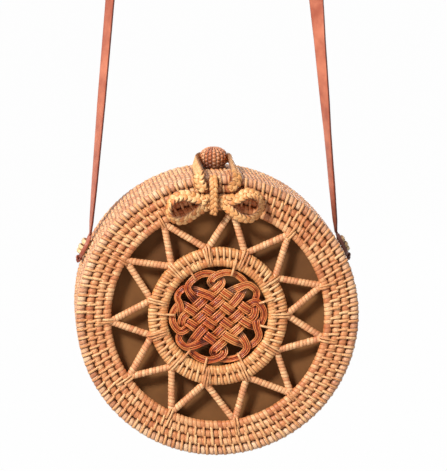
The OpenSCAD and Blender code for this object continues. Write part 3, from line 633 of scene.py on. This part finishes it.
def plait(weave, strip):
    """Canes side by side along the knot's line, spread where the rows cross. The bundle is over or
    under by a clipped cosine of its phase, which is whole where it crosses itself."""
    line = knot_line()
    h = WEAVE_H * np.clip(3 * np.cos(np.pi * line[:, 2]), -1, 1)
    path, _ = evenly(np.stack([line[:, 0], -(KNOT_A + h), line[:, 1]], 1), 0.7, closed=True)
    share = np.hypot(path[:, 0], path[:, 2]) / KNOT_R
    # painted shade: where a bundle dips under a crossing, inside the rim, it is darkened as though
    # shaded by the bundle over it
    under = smooth(KNOT_A + 0.35 + path[:, 1]) * 0.75 * smooth((0.84 - share) / 0.1)
    spread = 1 + CANE_SPREAD * smooth((0.88 - share) / 0.3)
    face = np.tile(FRONT, (len(path), 1))
    side, up = frames(path, face, closed=True)
    t = TAU * np.arange(len(path)) / len(path)
    for c in range(CANES):
        off = (c - (CANES - 1) / 2) * (BUNDLE_W - 0.1) / CANES * spread
        drift, bob = np.zeros(len(path)), np.zeros(len(path))
        for waves in rng.integers(5, 40, 4):
            drift += 0.07 * np.sin(t * waves + rng.uniform(0, TAU))
            bob += 0.06 * np.sin(t * waves + rng.uniform(0, TAU))
        cane_line = path + side * (off + drift)[:, None] + up * bob[:, None]
        carry(weave, cane_line, *frames(cane_line, face, closed=True), outline(CANE_W, CANE_T, 8, 2.1),
              strip + c, closed=True, broad=spread, hollow=under)


knot = Weave()
plait(knot, strip)
strip += CANES
knot.piece("plaited_knot", knot_rattan, "lid", "dark_rattan", ["centre_knot"])

ties = Weave()
top = CORNER_A + INNER_COIL_R + 0.7
for deg in TIE_DEG:
    strip_across(ties, deg, [(30.2, KNOT_A - 1.6), (30.8, KNOT_A + 1.6), (33.2, KNOT_A + 2.4),
                             (36.6, top - 0.5), (39.4, top + 0.1), (42.6, top - 0.6)], 4,
                 outline(1.7, 0.8, 8), strip)
    strip += 1
ties.piece("knot_ties_strips", stitch_rattan, "lid", "pale_rattan", ["knot_ties"])

# ---------------- braided cord
CORD_W, CORD_T, CORD_GAP = 6.3, 4.4, 0.35
CORD_A = HALF_DEPTH + CORD_T / 2 + CORD_GAP
RIBBON_W, RIBBON_T = 9.0, 3.2
BRAID_TURN = 10.4
BOW_X, BOW_Z, BOW_L = -1.5, 83.0, 27.0


def braid(weave, places, strip, wide, thick):
    """Flat three-strand plait along places (x, y, z, tilt, share of the width, lean), where the last
    two may be left out: the tilt turns its face from the front to the top, and the lean from there
    to the side. Each strand swings sideways by a sine of the length and in and out by a sine of
    twice that, a third of a turn after the next one."""
    q = curve_through([(*k, *(1.0, 0.0)[len(k) - 4:]) for k in places], 8)
    q, s = evenly(q, 0.62)
    path, tilt, broad, lean = q[:, :3], np.radians(q[:, 3]), q[:, 4], np.radians(q[:, 5])[:, None]
    face = np.stack([np.zeros(len(q)), -np.cos(tilt), np.sin(tilt)], 1)
    side, up = frames(path, face)
    side, up = frames(path, np.cos(lean) * up + np.sin(lean) * side)
    strand_w, strand_t = wide * 0.52, thick * 0.46
    swing, dip = (wide - strand_w) / 2, (thick - strand_t) / 2 * 0.9
    taper = np.minimum(1, 0.55 + np.minimum(s, s[-1] - s) / 3)
    for k in range(3):
        t = TAU * (s / BRAID_TURN + k / 3)
        line = path + side * (broad * swing * np.sin(t))[:, None] + up * (dip * np.sin(2 * t))[:, None]
        carry(weave, line, *frames(line, up), outline(strand_w, strand_t, 10, 2.3), strip + k,
              taper=taper)
    return strip + 3


# places of the bow's loops: shares of its length sideways and up, share of the width, and lean
LEFT_LOOP = [
    (-0.04, 0.05, 0.7, 0), (-0.22, 0.04, 0.8, -10), (-0.38, 0.03, 0.85, -22), (-0.57, 0.1, 1, -28),
    (-0.84, 0.17, 1.1, -30), (-1.1, 0.09, 1, -46), (-1.24, -0.14, 0.9, -64), (-1.19, -0.39, 0.9, -60),
    (-0.98, -0.5, 0.92, -44), (-0.73, -0.44, 0.92, -38), (-0.49, -0.27, 0.85, -36),
    (-0.23, -0.12, 0.75, -12), (-0.04, -0.04, 0.7, 0)]
RIGHT_LOOP = [
    (0.04, 0.05, 0.7, 0), (0.22, 0.04, 0.8, 10), (0.38, 0.01, 0.76, 22), (0.56, 0.07, 0.86, 26),
    (0.77, 0.2, 1.1, 30), (0.99, 0.18, 1, 44), (1.14, 0.02, 0.95, 60), (1.14, -0.23, 0.95, 60),
    (0.92, -0.45, 0.95, 44), (0.63, -0.43, 0.95, 40), (0.41, -0.28, 0.9, 36),
    (0.23, -0.12, 0.75, 12), (0.04, -0.04, 0.7, 0)]
LOOP_GAP, LOOP_RISE = 0.8, 1.7
for name, loop in (("left", LEFT_LOOP), ("right", RIGHT_LOOP)):
    cord, places = Weave(), []
    for x, z, share, lean in loop:
        q = math.radians(abs(lean))
        deep = share * RIBBON_W / 2 * math.sin(q) + RIBBON_T / 2 * math.cos(q)
        out = HALF_DEPTH + LOOP_GAP + deep + LOOP_RISE * min(1, abs(lean) / 20)
        places.append((BOW_X + x * BOW_L, -out, BOW_Z + z * BOW_L, 0, share, lean))
    strip = braid(cord, places, strip, RIBBON_W, RIBBON_T)
    cord.piece(f"bow_{name}", braid_rattan, "lid", "pale_rattan", [f"bow_loop_{name}"])

# two rows across the middle, as (y, z) at the left, the middle and the right, and a stub at either
# side below the closing loop's legs
MIDDLE_ROWS = (((-0.6, 1.8), (-1.2, 2.2), (-0.4, 1.2)), ((-0.3, -2.6), (-0.8, -2.2), (-0.3, -3.2)))
cord = Weave()
for row in MIDDLE_ROWS:
    strip = braid(cord, [(BOW_X + x, y - CORD_A, BOW_Z + z, 0) for x, (y, z) in zip((-6, 0, 6), row)],
                  strip, 5.2, 3.6)
for side, x, low in ((-1, 9.7, 0.2), (1, 8.1, 1.0)):
    strip = braid(cord, [(side * (x - 0.3), -CORD_A - 0.6, BOW_Z + 4.2, 0, 0.8, side * 10),
                         (side * x, -CORD_A - 2.6, BOW_Z + 2.8, 0, 0.8, side * 8),
                         (side * x, -CORD_A - 3.8, BOW_Z + low, 0, 0.75, 0)], strip, RIBBON_W, 2.2)
cord.piece("bow_middle", braid_rattan, "lid", "pale_rattan", ["bow_knot"])


def over_corner(x, thick, gap, deg):
    """A place over the lid's corner coil, from its front at 0 to its top at 90 degrees."""
    reach = COIL_R + thick / 2 + gap
    up, forward = reach * math.sin(math.radians(deg)), reach * math.cos(math.radians(deg))
    return (x, -(CORNER_A + forward), math.sqrt((WALL_R + up) ** 2 - x * x), deg)


WRAP_X, WRAP_W, WRAP_T = -3.5, 6.6, 4.0
WRAP_OVER = 2.0
wrap_y = -(CORD_A + CORD_T / 2 + WRAP_OVER + CORD_GAP)
wrap_end_y = wrap_y + (-CORD_A - wrap_y) / 3
cord = Weave()
strip = braid(cord, [over_corner(WRAP_X, WRAP_T, CORD_GAP, 45),
                     over_corner(WRAP_X, WRAP_T, CORD_GAP, 8),
                     (WRAP_X, wrap_end_y, BOW_Z + 12, 20), (WRAP_X, wrap_y, BOW_Z + 9, 0),
                     (WRAP_X, wrap_y, BOW_Z, 0), (WRAP_X, wrap_y, BOW_Z - 5, 0),
                     (WRAP_X, wrap_end_y, BOW_Z - 9.5, -20)], strip, WRAP_W, WRAP_T)
cord.piece("bow_wrap_cord", braid_rattan, "lid", "pale_rattan", ["bow_wrap"])

KNOB_D, KNOB_Y = 18.8, 12.0
LOOP_END_Z = BOW_Z + 4.7 + 2.6
LOOP_TOP = BAG_R + CORD_T / 2 + CORD_GAP
LOOP_HIGH = LOOP_TOP + CORD_T / 2 + 1.4
BESIDE = KNOB_D / 2 + RIBBON_T / 2 + 1.3
BEHIND = KNOB_D / 2 + RIBBON_T / 2 + 1.6


def on_wall(x, y, share):
    return (x, y, math.sqrt(LOOP_TOP**2 - x * x) + share * CORD_T / 2, 90)


def loop_half(side, low, mid):
    """Half of the closing loop, from the bow over the corner and the wall to the knob's far side.
    low and mid are how far out it lies at the bow and on the wall."""
    x = side * mid
    return [
        (side * low, -CORD_A - CORD_GAP, LOOP_END_Z + 0.1, 0, 0.7, 8),
        (side * (0.45 * low + 0.55 * mid), -CORD_A - 0.4, (LOOP_END_Z + WALL_R) / 2, 0, 1, 16),
        (*over_corner(x, CORD_T, 0.6, 5), 1.05, 24),
        (*over_corner(x, CORD_T, 0.8, 50), 1.05, 28),
        (*over_corner(x, CORD_T, 0.9, 90), 1.05, 32),
        (*on_wall(x, -0.45 * HALF_DEPTH, 0.6), 1, 40),
        (*on_wall(x - side * 0.1, -0.1 * HALF_DEPTH, 1.1), 1, 52),
        (*on_wall(x - side * 0.4, 0.35 * KNOB_Y, 1.6), 0.95, 64),
        (side * BESIDE, KNOB_Y, LOOP_HIGH, 90, 0.9, 76),
        (side * 0.78 * BESIDE, KNOB_Y + 0.44 * KNOB_D, LOOP_HIGH, 90, 0.9, 78),
        (side * 0.42 * BESIDE, KNOB_Y + 0.64 * KNOB_D, LOOP_HIGH, 90, 0.9, 80)]


cord = Weave()
strip = braid(cord, loop_half(-1, 9.6, 13.5) + [(0, KNOB_Y + BEHIND, LOOP_HIGH, 90, 0.9, 80)]
              + loop_half(1, 8, 12.9)[::-1], strip, RIBBON_W, RIBBON_T)
cord.piece("closing_loop_cord", braid_rattan, "loop", "pale_rattan", ["closure_loop"])

# ---------------- knob
KNOB_HIGH, KNOB_SEAT = 15.0, 0.1
KNOB_SIDE_R, KNOB_DOME_R, KNOB_BELLY = 1.7 * KNOB_D / 2, 1.38 * KNOB_D / 2, 0.45 * KNOB_HIGH
KNOB_COLUMNS, KNOB_ROWS, CELL_RISE, CELL_SUNK = 18, 10.5, 0.9, 0.6


def knob_piece(strip):
    """Woven button: a barrel under a dome, with columns of cells round it. A cell is raised by
    (1 - (2x)^2)(1 - (2y)^2), x and y from -1/2 to 1/2, and every second column is half a cell up."""
    n, m = 216, 80
    z = KNOB_HIGH * (1 - (1 - np.linspace(0, 1, m) ** 0.9) ** 1.6)
    barrel = KNOB_D / 2 - KNOB_SIDE_R + np.sqrt(np.maximum(KNOB_SIDE_R**2 - (z - KNOB_BELLY) ** 2, 0))
    dome = np.sqrt(np.maximum(KNOB_DOME_R**2 - (z - (KNOB_HIGH - KNOB_DOME_R)) ** 2, 0.01))
    r, z = np.append(0.05, np.minimum(barrel, dome)), np.append(0, z)
    s = np.append(0, np.cumsum(np.hypot(np.diff(r), np.diff(z))))
    t = TAU * np.arange(n + 1) / n
    column = (t * KNOB_COLUMNS / TAU)[:, None] + np.zeros(len(s))
    row = s / s[-1] * KNOB_ROWS + 0.5 * (np.floor(column) % 2)
    x, y = column - np.floor(column) - 0.5, row - np.floor(row) - 0.5
    cell = (1 - (2 * x) ** 2) * (1 - (2 * y) ** 2)
    fade = np.clip(r / 4, 0, 1)
    wide = (r + (CELL_RISE * cell - CELL_SUNK) * fade)[:-1]
    high = BAG_R + KNOB_SEAT + z + (0.25 * CELL_RISE * cell * fade)[:-1]
    # painted shade: the crevices between the cells and the knob's lower 10 mm are darkened as though in
    # shade
    hollow = np.maximum(smooth((0.3 - cell) / 0.3) * fade, smooth((10.0 - z) / 9.0) * 0.9)[:-1]
    p = np.stack([wide * np.cos(t[:-1, None]), KNOB_Y + wide * np.sin(t[:-1, None]), high], -1)
    weave = Weave().grid(p, strip + column, np.tile(s, (n + 1, 1)), (True, False), hollow)
    weave.piece("woven_knob", knob_rattan, "back_shell", "dark_rattan", ["knob"])


knob_piece(strip)
strip += 200

# ---------------- strap eyes and strap ends
LUG_DEG, LUG_Y, TAIL_X = 25.3, 11.0, 2.9
FLEX_UP = 6.0 + 3.8 + 0.5
# the eye's arch, out from the wall and front to back, and its canes: place along the rim, height
# as a share, and width
EYE_ARCH = [(-0.6, -6.0), (1.5, -6.05), (4.2, -5.9), (5.85, -4.6), (6.2, -2.4), (6.25, 0), (6.2, 2.4),
            (5.85, 4.6), (4.2, 5.9), (1.5, 6.05), (-0.6, 6.0)]
EYE_CANES = ((-4.3, 0.9, 3.0), (-1.2, 0.92, 3.4), (3.2, 0.84, 3.8))
# the strap's end: its low end and half widths, the knot's middle, and the fold in front of the eye
TAIL_LOW = -9.5
TAIL_HALF = ([TAIL_LOW, -6, 2, 7, FLEX_UP + 0.6], [1.8, 2.2, 2.3, 3.0, 3.6])
TAIL_KNOT_Y, TAIL_KNOT_Z = -2.4, -9.4
TAIL_FOLD = [(0, -3.4, 8.4), (-0.2, -6.2, 6.4), (-0.3, -8.6, 3.4), (-0.2, -8.9, -0.6), (0, -8.2, -4.6),
             (0, -4.6, -8.0)]


def eye_axes(side):
    """The eye's own directions: out from the wall, and up along the rim."""
    (c, s), (rim_x, rim_z) = polar(1, LUG_DEG), polar(1, LUG_DEG + 90)
    return np.array([side * c, 0, s]), np.array([side * rim_x, 0, rim_z])


def eye_place(side, x, y, z):
    """A place in the eye's own frame: x out from the wall, y front to back, z along the rim."""
    out, rim = eye_axes(side)
    x, y, z = (k[..., None] for k in np.broadcast_arrays(x, y, z))
    return (BAG_R + x) * out + (LUG_Y + y) * BACK + z * rim


def eye_piece(name, side, strip):
    """Arch of three padded canes side by side, from one foot on the wall to the other."""
    weave = Weave()
    arch = curve_through(EYE_ARCH, 4)
    for k, (z, high, wide) in enumerate(EYE_CANES):
        path = eye_place(side, arch[:, 0] * high, arch[:, 1], z)
        rim = np.tile(eye_axes(side)[1], (len(path), 1))
        along = unit(np.gradient(path, axis=0))
        carry(weave, path, rim, np.cross(along, rim), outline(wide, 2.5, 12, 2.1), strip + k)
    weave.piece(f"eye_{name}", eye_rattan, "back_shell", "pale_rattan", [f"lug_{name}"])


def tail_piece(name, side, strip):
    """The strap's end: flat through the eye, rolled round in an overhand knot below it, whose line
    is the trefoil (sin t + 2 sin 2t, cos t - 2 cos 2t, -sin 3t), a fold in front of the eye and a
    short tip."""
    weave = Weave()
    # painted shade: the right strap end is darkened as though in shade, the left only a little
    flat_dark, dark = (0.6, 0.75) if side > 0 else (0.15, 0.2)

    def flat(z, x, y, section, strip, **shape):
        out = np.tile(eye_axes(side)[0], (len(z), 1))
        carry(weave, eye_place(side, x, y, z), np.tile(BACK, (len(z), 1)), out, section, strip, **shape)

    z = np.linspace(FLEX_UP + 0.6, TAIL_LOW, 40)
    flat(z, TAIL_X, 0, outline(1.0, 1.8, 12, 3.2), strip, broad=2 * np.interp(z, *TAIL_HALF),
         hollow=flat_dark)
    t = TAU * np.arange(72) / 72
    x, z = np.sin(t) + 2 * np.sin(2 * t), np.cos(t) - 2 * np.cos(2 * t)
    line = eye_place(side, TAIL_X + 0.68 * x, TAIL_KNOT_Y - 0.8 * np.sin(3 * t), TAIL_KNOT_Z + 0.74 * z)
    outwards = unit(line - eye_place(side, TAIL_X, TAIL_KNOT_Y, TAIL_KNOT_Z))
    carry(weave, line, *frames(line, outwards, closed=True), outline(1.8, 1.3, 10, 2.4), strip + 1,
          closed=True, hollow=dark)
    x, y, z = curve_through(TAIL_FOLD, 5).T
    band = eye_place(side, TAIL_X + x, y, z)
    face = np.tile(FRONT + 0.3 * eye_axes(side)[0], (len(band), 1))
    carry(weave, band, *frames(band, face), outline(3.0, 1.1, 10, 3.0), strip + 3, hollow=dark)
    flat(np.linspace(-11.0, -12.6, 8), TAIL_X - 0.3, np.linspace(-1.8, -1.4, 8),
         outline(2.8, 1.4, 12, 3.2), strip + 2)
    weave.piece(f"strap_tail_{name}", strap_leather, "back_shell", "leather", [f"strap_end_{name}"])


for name, side in SIDES:
    eye_piece(name, side, strip)
    tail_piece(name, side, strip + 8)
    strip += 12

# ---------------- strap
CROWN_RISE, CROWN_R, STRAP_T, STRAP_W, STRAP_END_W = 521.0, 42.0, 1.8, 11.0, 7.6
FLEX_X, FLEX_Z = (BAG_R + TAIL_X) * polar(1, LUG_DEG) + FLEX_UP * polar(1, LUG_DEG + 90)
reach = math.hypot(FLEX_X, CROWN_RISE)
RUN = math.sqrt(reach**2 - CROWN_R**2)
CROWN_DEG = math.degrees(math.acos(CROWN_R / reach)) - math.degrees(math.atan2(CROWN_RISE, FLEX_X))
# heights above the eye and how far the strap has turned there, in degrees
LEFT_TURN = ([0, 8, 30, 51, 73, 95, 166, RUN], [0, 12, 16, 19, 23, 27, 30, 180])
RIGHT_TURN = ([0, 8, 30, 51, 73, 95, 117, 139, 166, 0.74 * RUN],
              [0, 13, 15, 16, 20, 30, 36, 42, 60, 180])


def strap_side(side):
    """Straight run from the eye to the crown, turning half round on the way: x, z, its turn, width
    and facing in degrees, and how much painted shade it gets near the eye."""
    h = np.concatenate([np.linspace(-1.0, 40, 22), np.linspace(44, RUN, 118)])
    crown_x, crown_z = CROWN_R * polar(1, CROWN_DEG)
    x = side * (FLEX_X + (crown_x - FLEX_X) * h / RUN)
    z = FLEX_Z + (CROWN_RISE + crown_z) * h / RUN
    twist = np.interp(h, *(RIGHT_TURN if side > 0 else LEFT_TURN)) * -side
    width = STRAP_END_W + (STRAP_W - STRAP_END_W) * smooth(h / 40)
    round_end = np.sqrt(np.clip(1 - (np.minimum(h, 0) / 1.2) ** 2, 0.05, 1))
    # painted shade near the eye, stronger on the right run
    painted_eye_shade = smooth((34 - h) / 30) * (0.6 if side > 0 else 0.15)
    facing = np.full(len(h), CROWN_DEG if side > 0 else 180 - CROWN_DEG)
    return x, z, twist, width * round_end, facing, painted_eye_shade


arc = np.linspace(CROWN_DEG, 180 - CROWN_DEG, 50)[1:-1]
crown_x, crown_z = CROWN_R * polar(1, arc).T
crown = (crown_x, FLEX_Z + CROWN_RISE + crown_z, 0 * arc + 180, 0 * arc + STRAP_W, arc, 0 * arc)
x, z, twist, width, facing, painted_eye_shade = (np.concatenate([r, c, l[::-1]])
                                    for r, c, l in zip(strap_side(1), crown, strap_side(-1)))
path = np.stack([x, np.full(len(x), LUG_Y), z], 1)
out_x, out_z = polar(1, facing).T
outer = np.stack([out_x, 0 * out_x, out_z], 1)
c, s = np.cos(np.radians(twist))[:, None], np.sin(np.radians(twist))[:, None]
strap = carry(Weave(), path, c * BACK + s * outer, c * outer - s * BACK,
              outline(1.0, STRAP_T, 16, 4.5), strip, broad=width, hollow=painted_eye_shade)
strap.piece("leather_strap", strap_leather, "strap", "leather", ["shoulder_strap"])
strip += 4

# ---------------- lining
LINING_A, LINING_R, CLOTH_T = 32.45, 92.9, 0.5
BAND_R, BAND_FROM, BAND_TO = 93.3, 1.0, LINING_A - 0.1
GATHERS, GATHER_H = 60, 0.18


def lining(name, out, body, node, wrinkle, slack):
    """Round cloth: a disc with slow folds, sine waves across it that fade at its rim. Its slack
    hangs inwards as 1 - (r / R)^6."""
    n, m = 180, 40
    t = TAU * np.arange(n + 1)[:, None] / n
    r = np.append(0.02, np.linspace(1, LINING_R, m))
    x, z = r * np.cos(t), r * np.sin(t)
    fold = np.sin(0.11 * x + 0.05 * z) * np.sin(0.07 * z - 0.04 * x) + 0.5 * np.sin(0.13 * (x - z))
    a = LINING_A + 0.35 + (wrinkle * fold - slack) * (1 - (r / LINING_R) ** 6)
    front = round_bag(r, a, t, out)[:-1]
    both = np.concatenate([front, (front - out * CLOTH_T * BACK)[:, ::-1]], 1)
    u, v = (np.concatenate([k, k[:, ::-1]], 1) for k in (x, z))
    piece = Weave().grid(both, u, v, (True, False)).piece(name, lining_cloth, body, "lining", [node])


def wall_cloth(name, out, body, node):
    """Round band of cloth inside the wall, with small gathers."""
    n, m = 240, 12
    t = TAU * np.arange(n + 1)[:, None] / n
    a = np.linspace(BAND_FROM, BAND_TO, m)
    across = np.sin(np.pi * (a - BAND_FROM) / (BAND_TO - BAND_FROM))
    r = BAND_R + GATHER_H * np.sin(GATHERS * t) * across
    outer, inner = round_bag(r, a, t, out)[:-1], round_bag(r - CLOTH_T, a, t, out)[:-1]
    both = np.concatenate([outer, inner[:, ::-1]], 1)
    u = np.tile(t * BAND_R, (1, 2 * m + 1))
    v = np.tile(np.concatenate([a, a[::-1], a[:1]]), (n + 1, 1))
    piece = Weave().grid(both, u, v, (True, True)).piece(name, lining_cloth, body, "lining", [node])


lining("lid_cloth", -1, "lid", "lid_lining", 0.12, 4.5)
lining("back_cloth", 1, "back_shell", "back_lining", 0.35, 1.0)
wall_cloth("lid_band", -1, "lid", "lid_wall_lining")
wall_cloth("back_band", 1, "back_shell", "back_wall_lining")

# ---------------- bottom ties and peg
TIE_X, TIE_R, TIE_T, HINGE_Z = 15.0, 4.2, 1.8, -(BAG_R + 0.3)


def bottom_ring(name, side, strip):
    """Ring of cane about the hinge line, through the edge coils of both halves."""
    y, z = polar(1, np.arange(48) * 360 / 48).T
    round_line = np.stack([0 * y, y, z], 1)
    line = TIE_R * round_line + np.array([side * TIE_X, 0, HINGE_Z])
    weave = carry(Weave(), line, *frames(line, round_line, closed=True), outline(TIE_T, TIE_T, 12),
                  strip, closed=True)
    weave.piece(f"bottom_ring_{name}", stitch_rattan, "back_shell", "pale_rattan",
                [f"bottom_tie_{name}"])


for name, side in SIDES:
    bottom_ring(name, side, strip)
    strip += 1

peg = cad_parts["knob_peg"]
peg.data.materials.clear()
peg.data.materials.append(rod_rattan)

# ---------------- floor, light, camera
FLOOR_DROP, FLOOR_HALF, FLOOR_WHITE, SKY = 330, 15.0, 0.985, 0.08
floor_z = (BAG[2] - FLOOR_DROP) * MM
mesh = bpy.data.meshes.new("floor")
mesh.from_pydata([(x * FLOOR_HALF, y * FLOOR_HALF, floor_z)
                  for x, y in ((-1, -1), (1, -1), (1, 1), (-1, 1))], [], [(0, 1, 2, 3)])
floor = new_object("floor", mesh)


def seen_by_rays(tree):
    """1 for rays from the camera, and for those that polished or clear things send on, else 0."""
    path = Sock(tree, None).node("ShaderNodeLightPath")
    return (path + path.other("Is Glossy Ray") + path.other("Is Transmission Ray")).least(1.0)


pale_floor = bpy.data.materials.new("pale_floor")
pale_floor.use_nodes = True
tree = pale_floor.node_tree
plain = tree.nodes["Principled BSDF"]
plain.inputs["Base Color"].default_value = (0.5, 0.5, 0.5, 1)
plain.inputs["Roughness"].default_value = 0.9
start = Sock(tree, plain.outputs[0])
blend = start.node("ShaderNodeMixShader", i0=seen_by_rays(tree) * FLOOR_WHITE, i1=start,
                   i2=start.node("ShaderNodeEmission"))
tree.links.new(blend.out, tree.nodes["Material Output"].inputs["Surface"])
mesh.materials.append(pale_floor)

world = bpy.data.worlds.new("studio")
bpy.context.scene.world = world
world.use_nodes = True
background = world.node_tree.nodes["Background"]
background.inputs[0].default_value = (1, 1, 1, 1)
strength = seen_by_rays(world.node_tree) * (1 - SKY) + SKY
world.node_tree.links.new(strength.out, background.inputs[1])


def aimed(name, data, place, aim):
    """Sets a lamp or the camera at a place and turns it to another."""
    thing = new_object(name, data)
    thing.location = place
    thing.rotation_mode = "QUATERNION"
    thing.rotation_quaternion = (aim - place).to_track_quat("-Z", "Y")
    return thing


centre = Vector(BAG * MM)
# each lamp: its place, with its height from the bag's middle, how wide it is, its power and colour
for name, place, size, power, colour in (
        ("key", (-1.7, -2.0, 1.9), 0.7, 132, (1.0, 0.98, 0.95)),
        ("fill", (1.8, -2.4, 0.3), 1.6, 6, (1, 1, 1)),
        ("back", (1.4, 2.4, -0.3), 1.4, 30, (1, 1, 1)),
        ("top", (-0.5, 0.5, 2.2), 0.9, 18, (1, 1, 1))):
    data = bpy.data.lights.new(name, "AREA")
    data.shape, data.size, data.energy, data.color = "DISK", size, power, colour
    aimed(name, data, Vector((place[0], place[1], centre[2] + place[2])), centre)

# the camera: where it is seen from, in degrees and metres, the place that it looks at, right of the
# bag's middle and above it across the line of sight, and its focal length in the photo's pixels
AZIMUTH, ELEVATION, DISTANCE = math.radians(-3.7), math.radians(9.5), 2.2
AIM_RIGHT, AIM_UP = 0.00648, 0.0518
FOCAL_PIXELS, PHOTO_HIGH, SENSOR = 3056, 471, 36
towards = Vector((math.sin(AZIMUTH) * math.cos(ELEVATION), -math.cos(AZIMUTH) * math.cos(ELEVATION),
                  math.sin(ELEVATION)))
right_of = Vector((math.cos(AZIMUTH), math.sin(AZIMUTH), 0))
data = bpy.data.cameras.new("camera")
data.sensor_width = SENSOR
data.lens = SENSOR * FOCAL_PIXELS / PHOTO_HIGH
data.clip_start, data.clip_end = 0.05, 60
bpy.context.scene.camera = aimed("camera", data, centre + towards * DISTANCE,
                                 centre + right_of * AIM_RIGHT + towards.cross(right_of) * AIM_UP)
bpy.context.scene.view_settings.view_transform = "Standard"
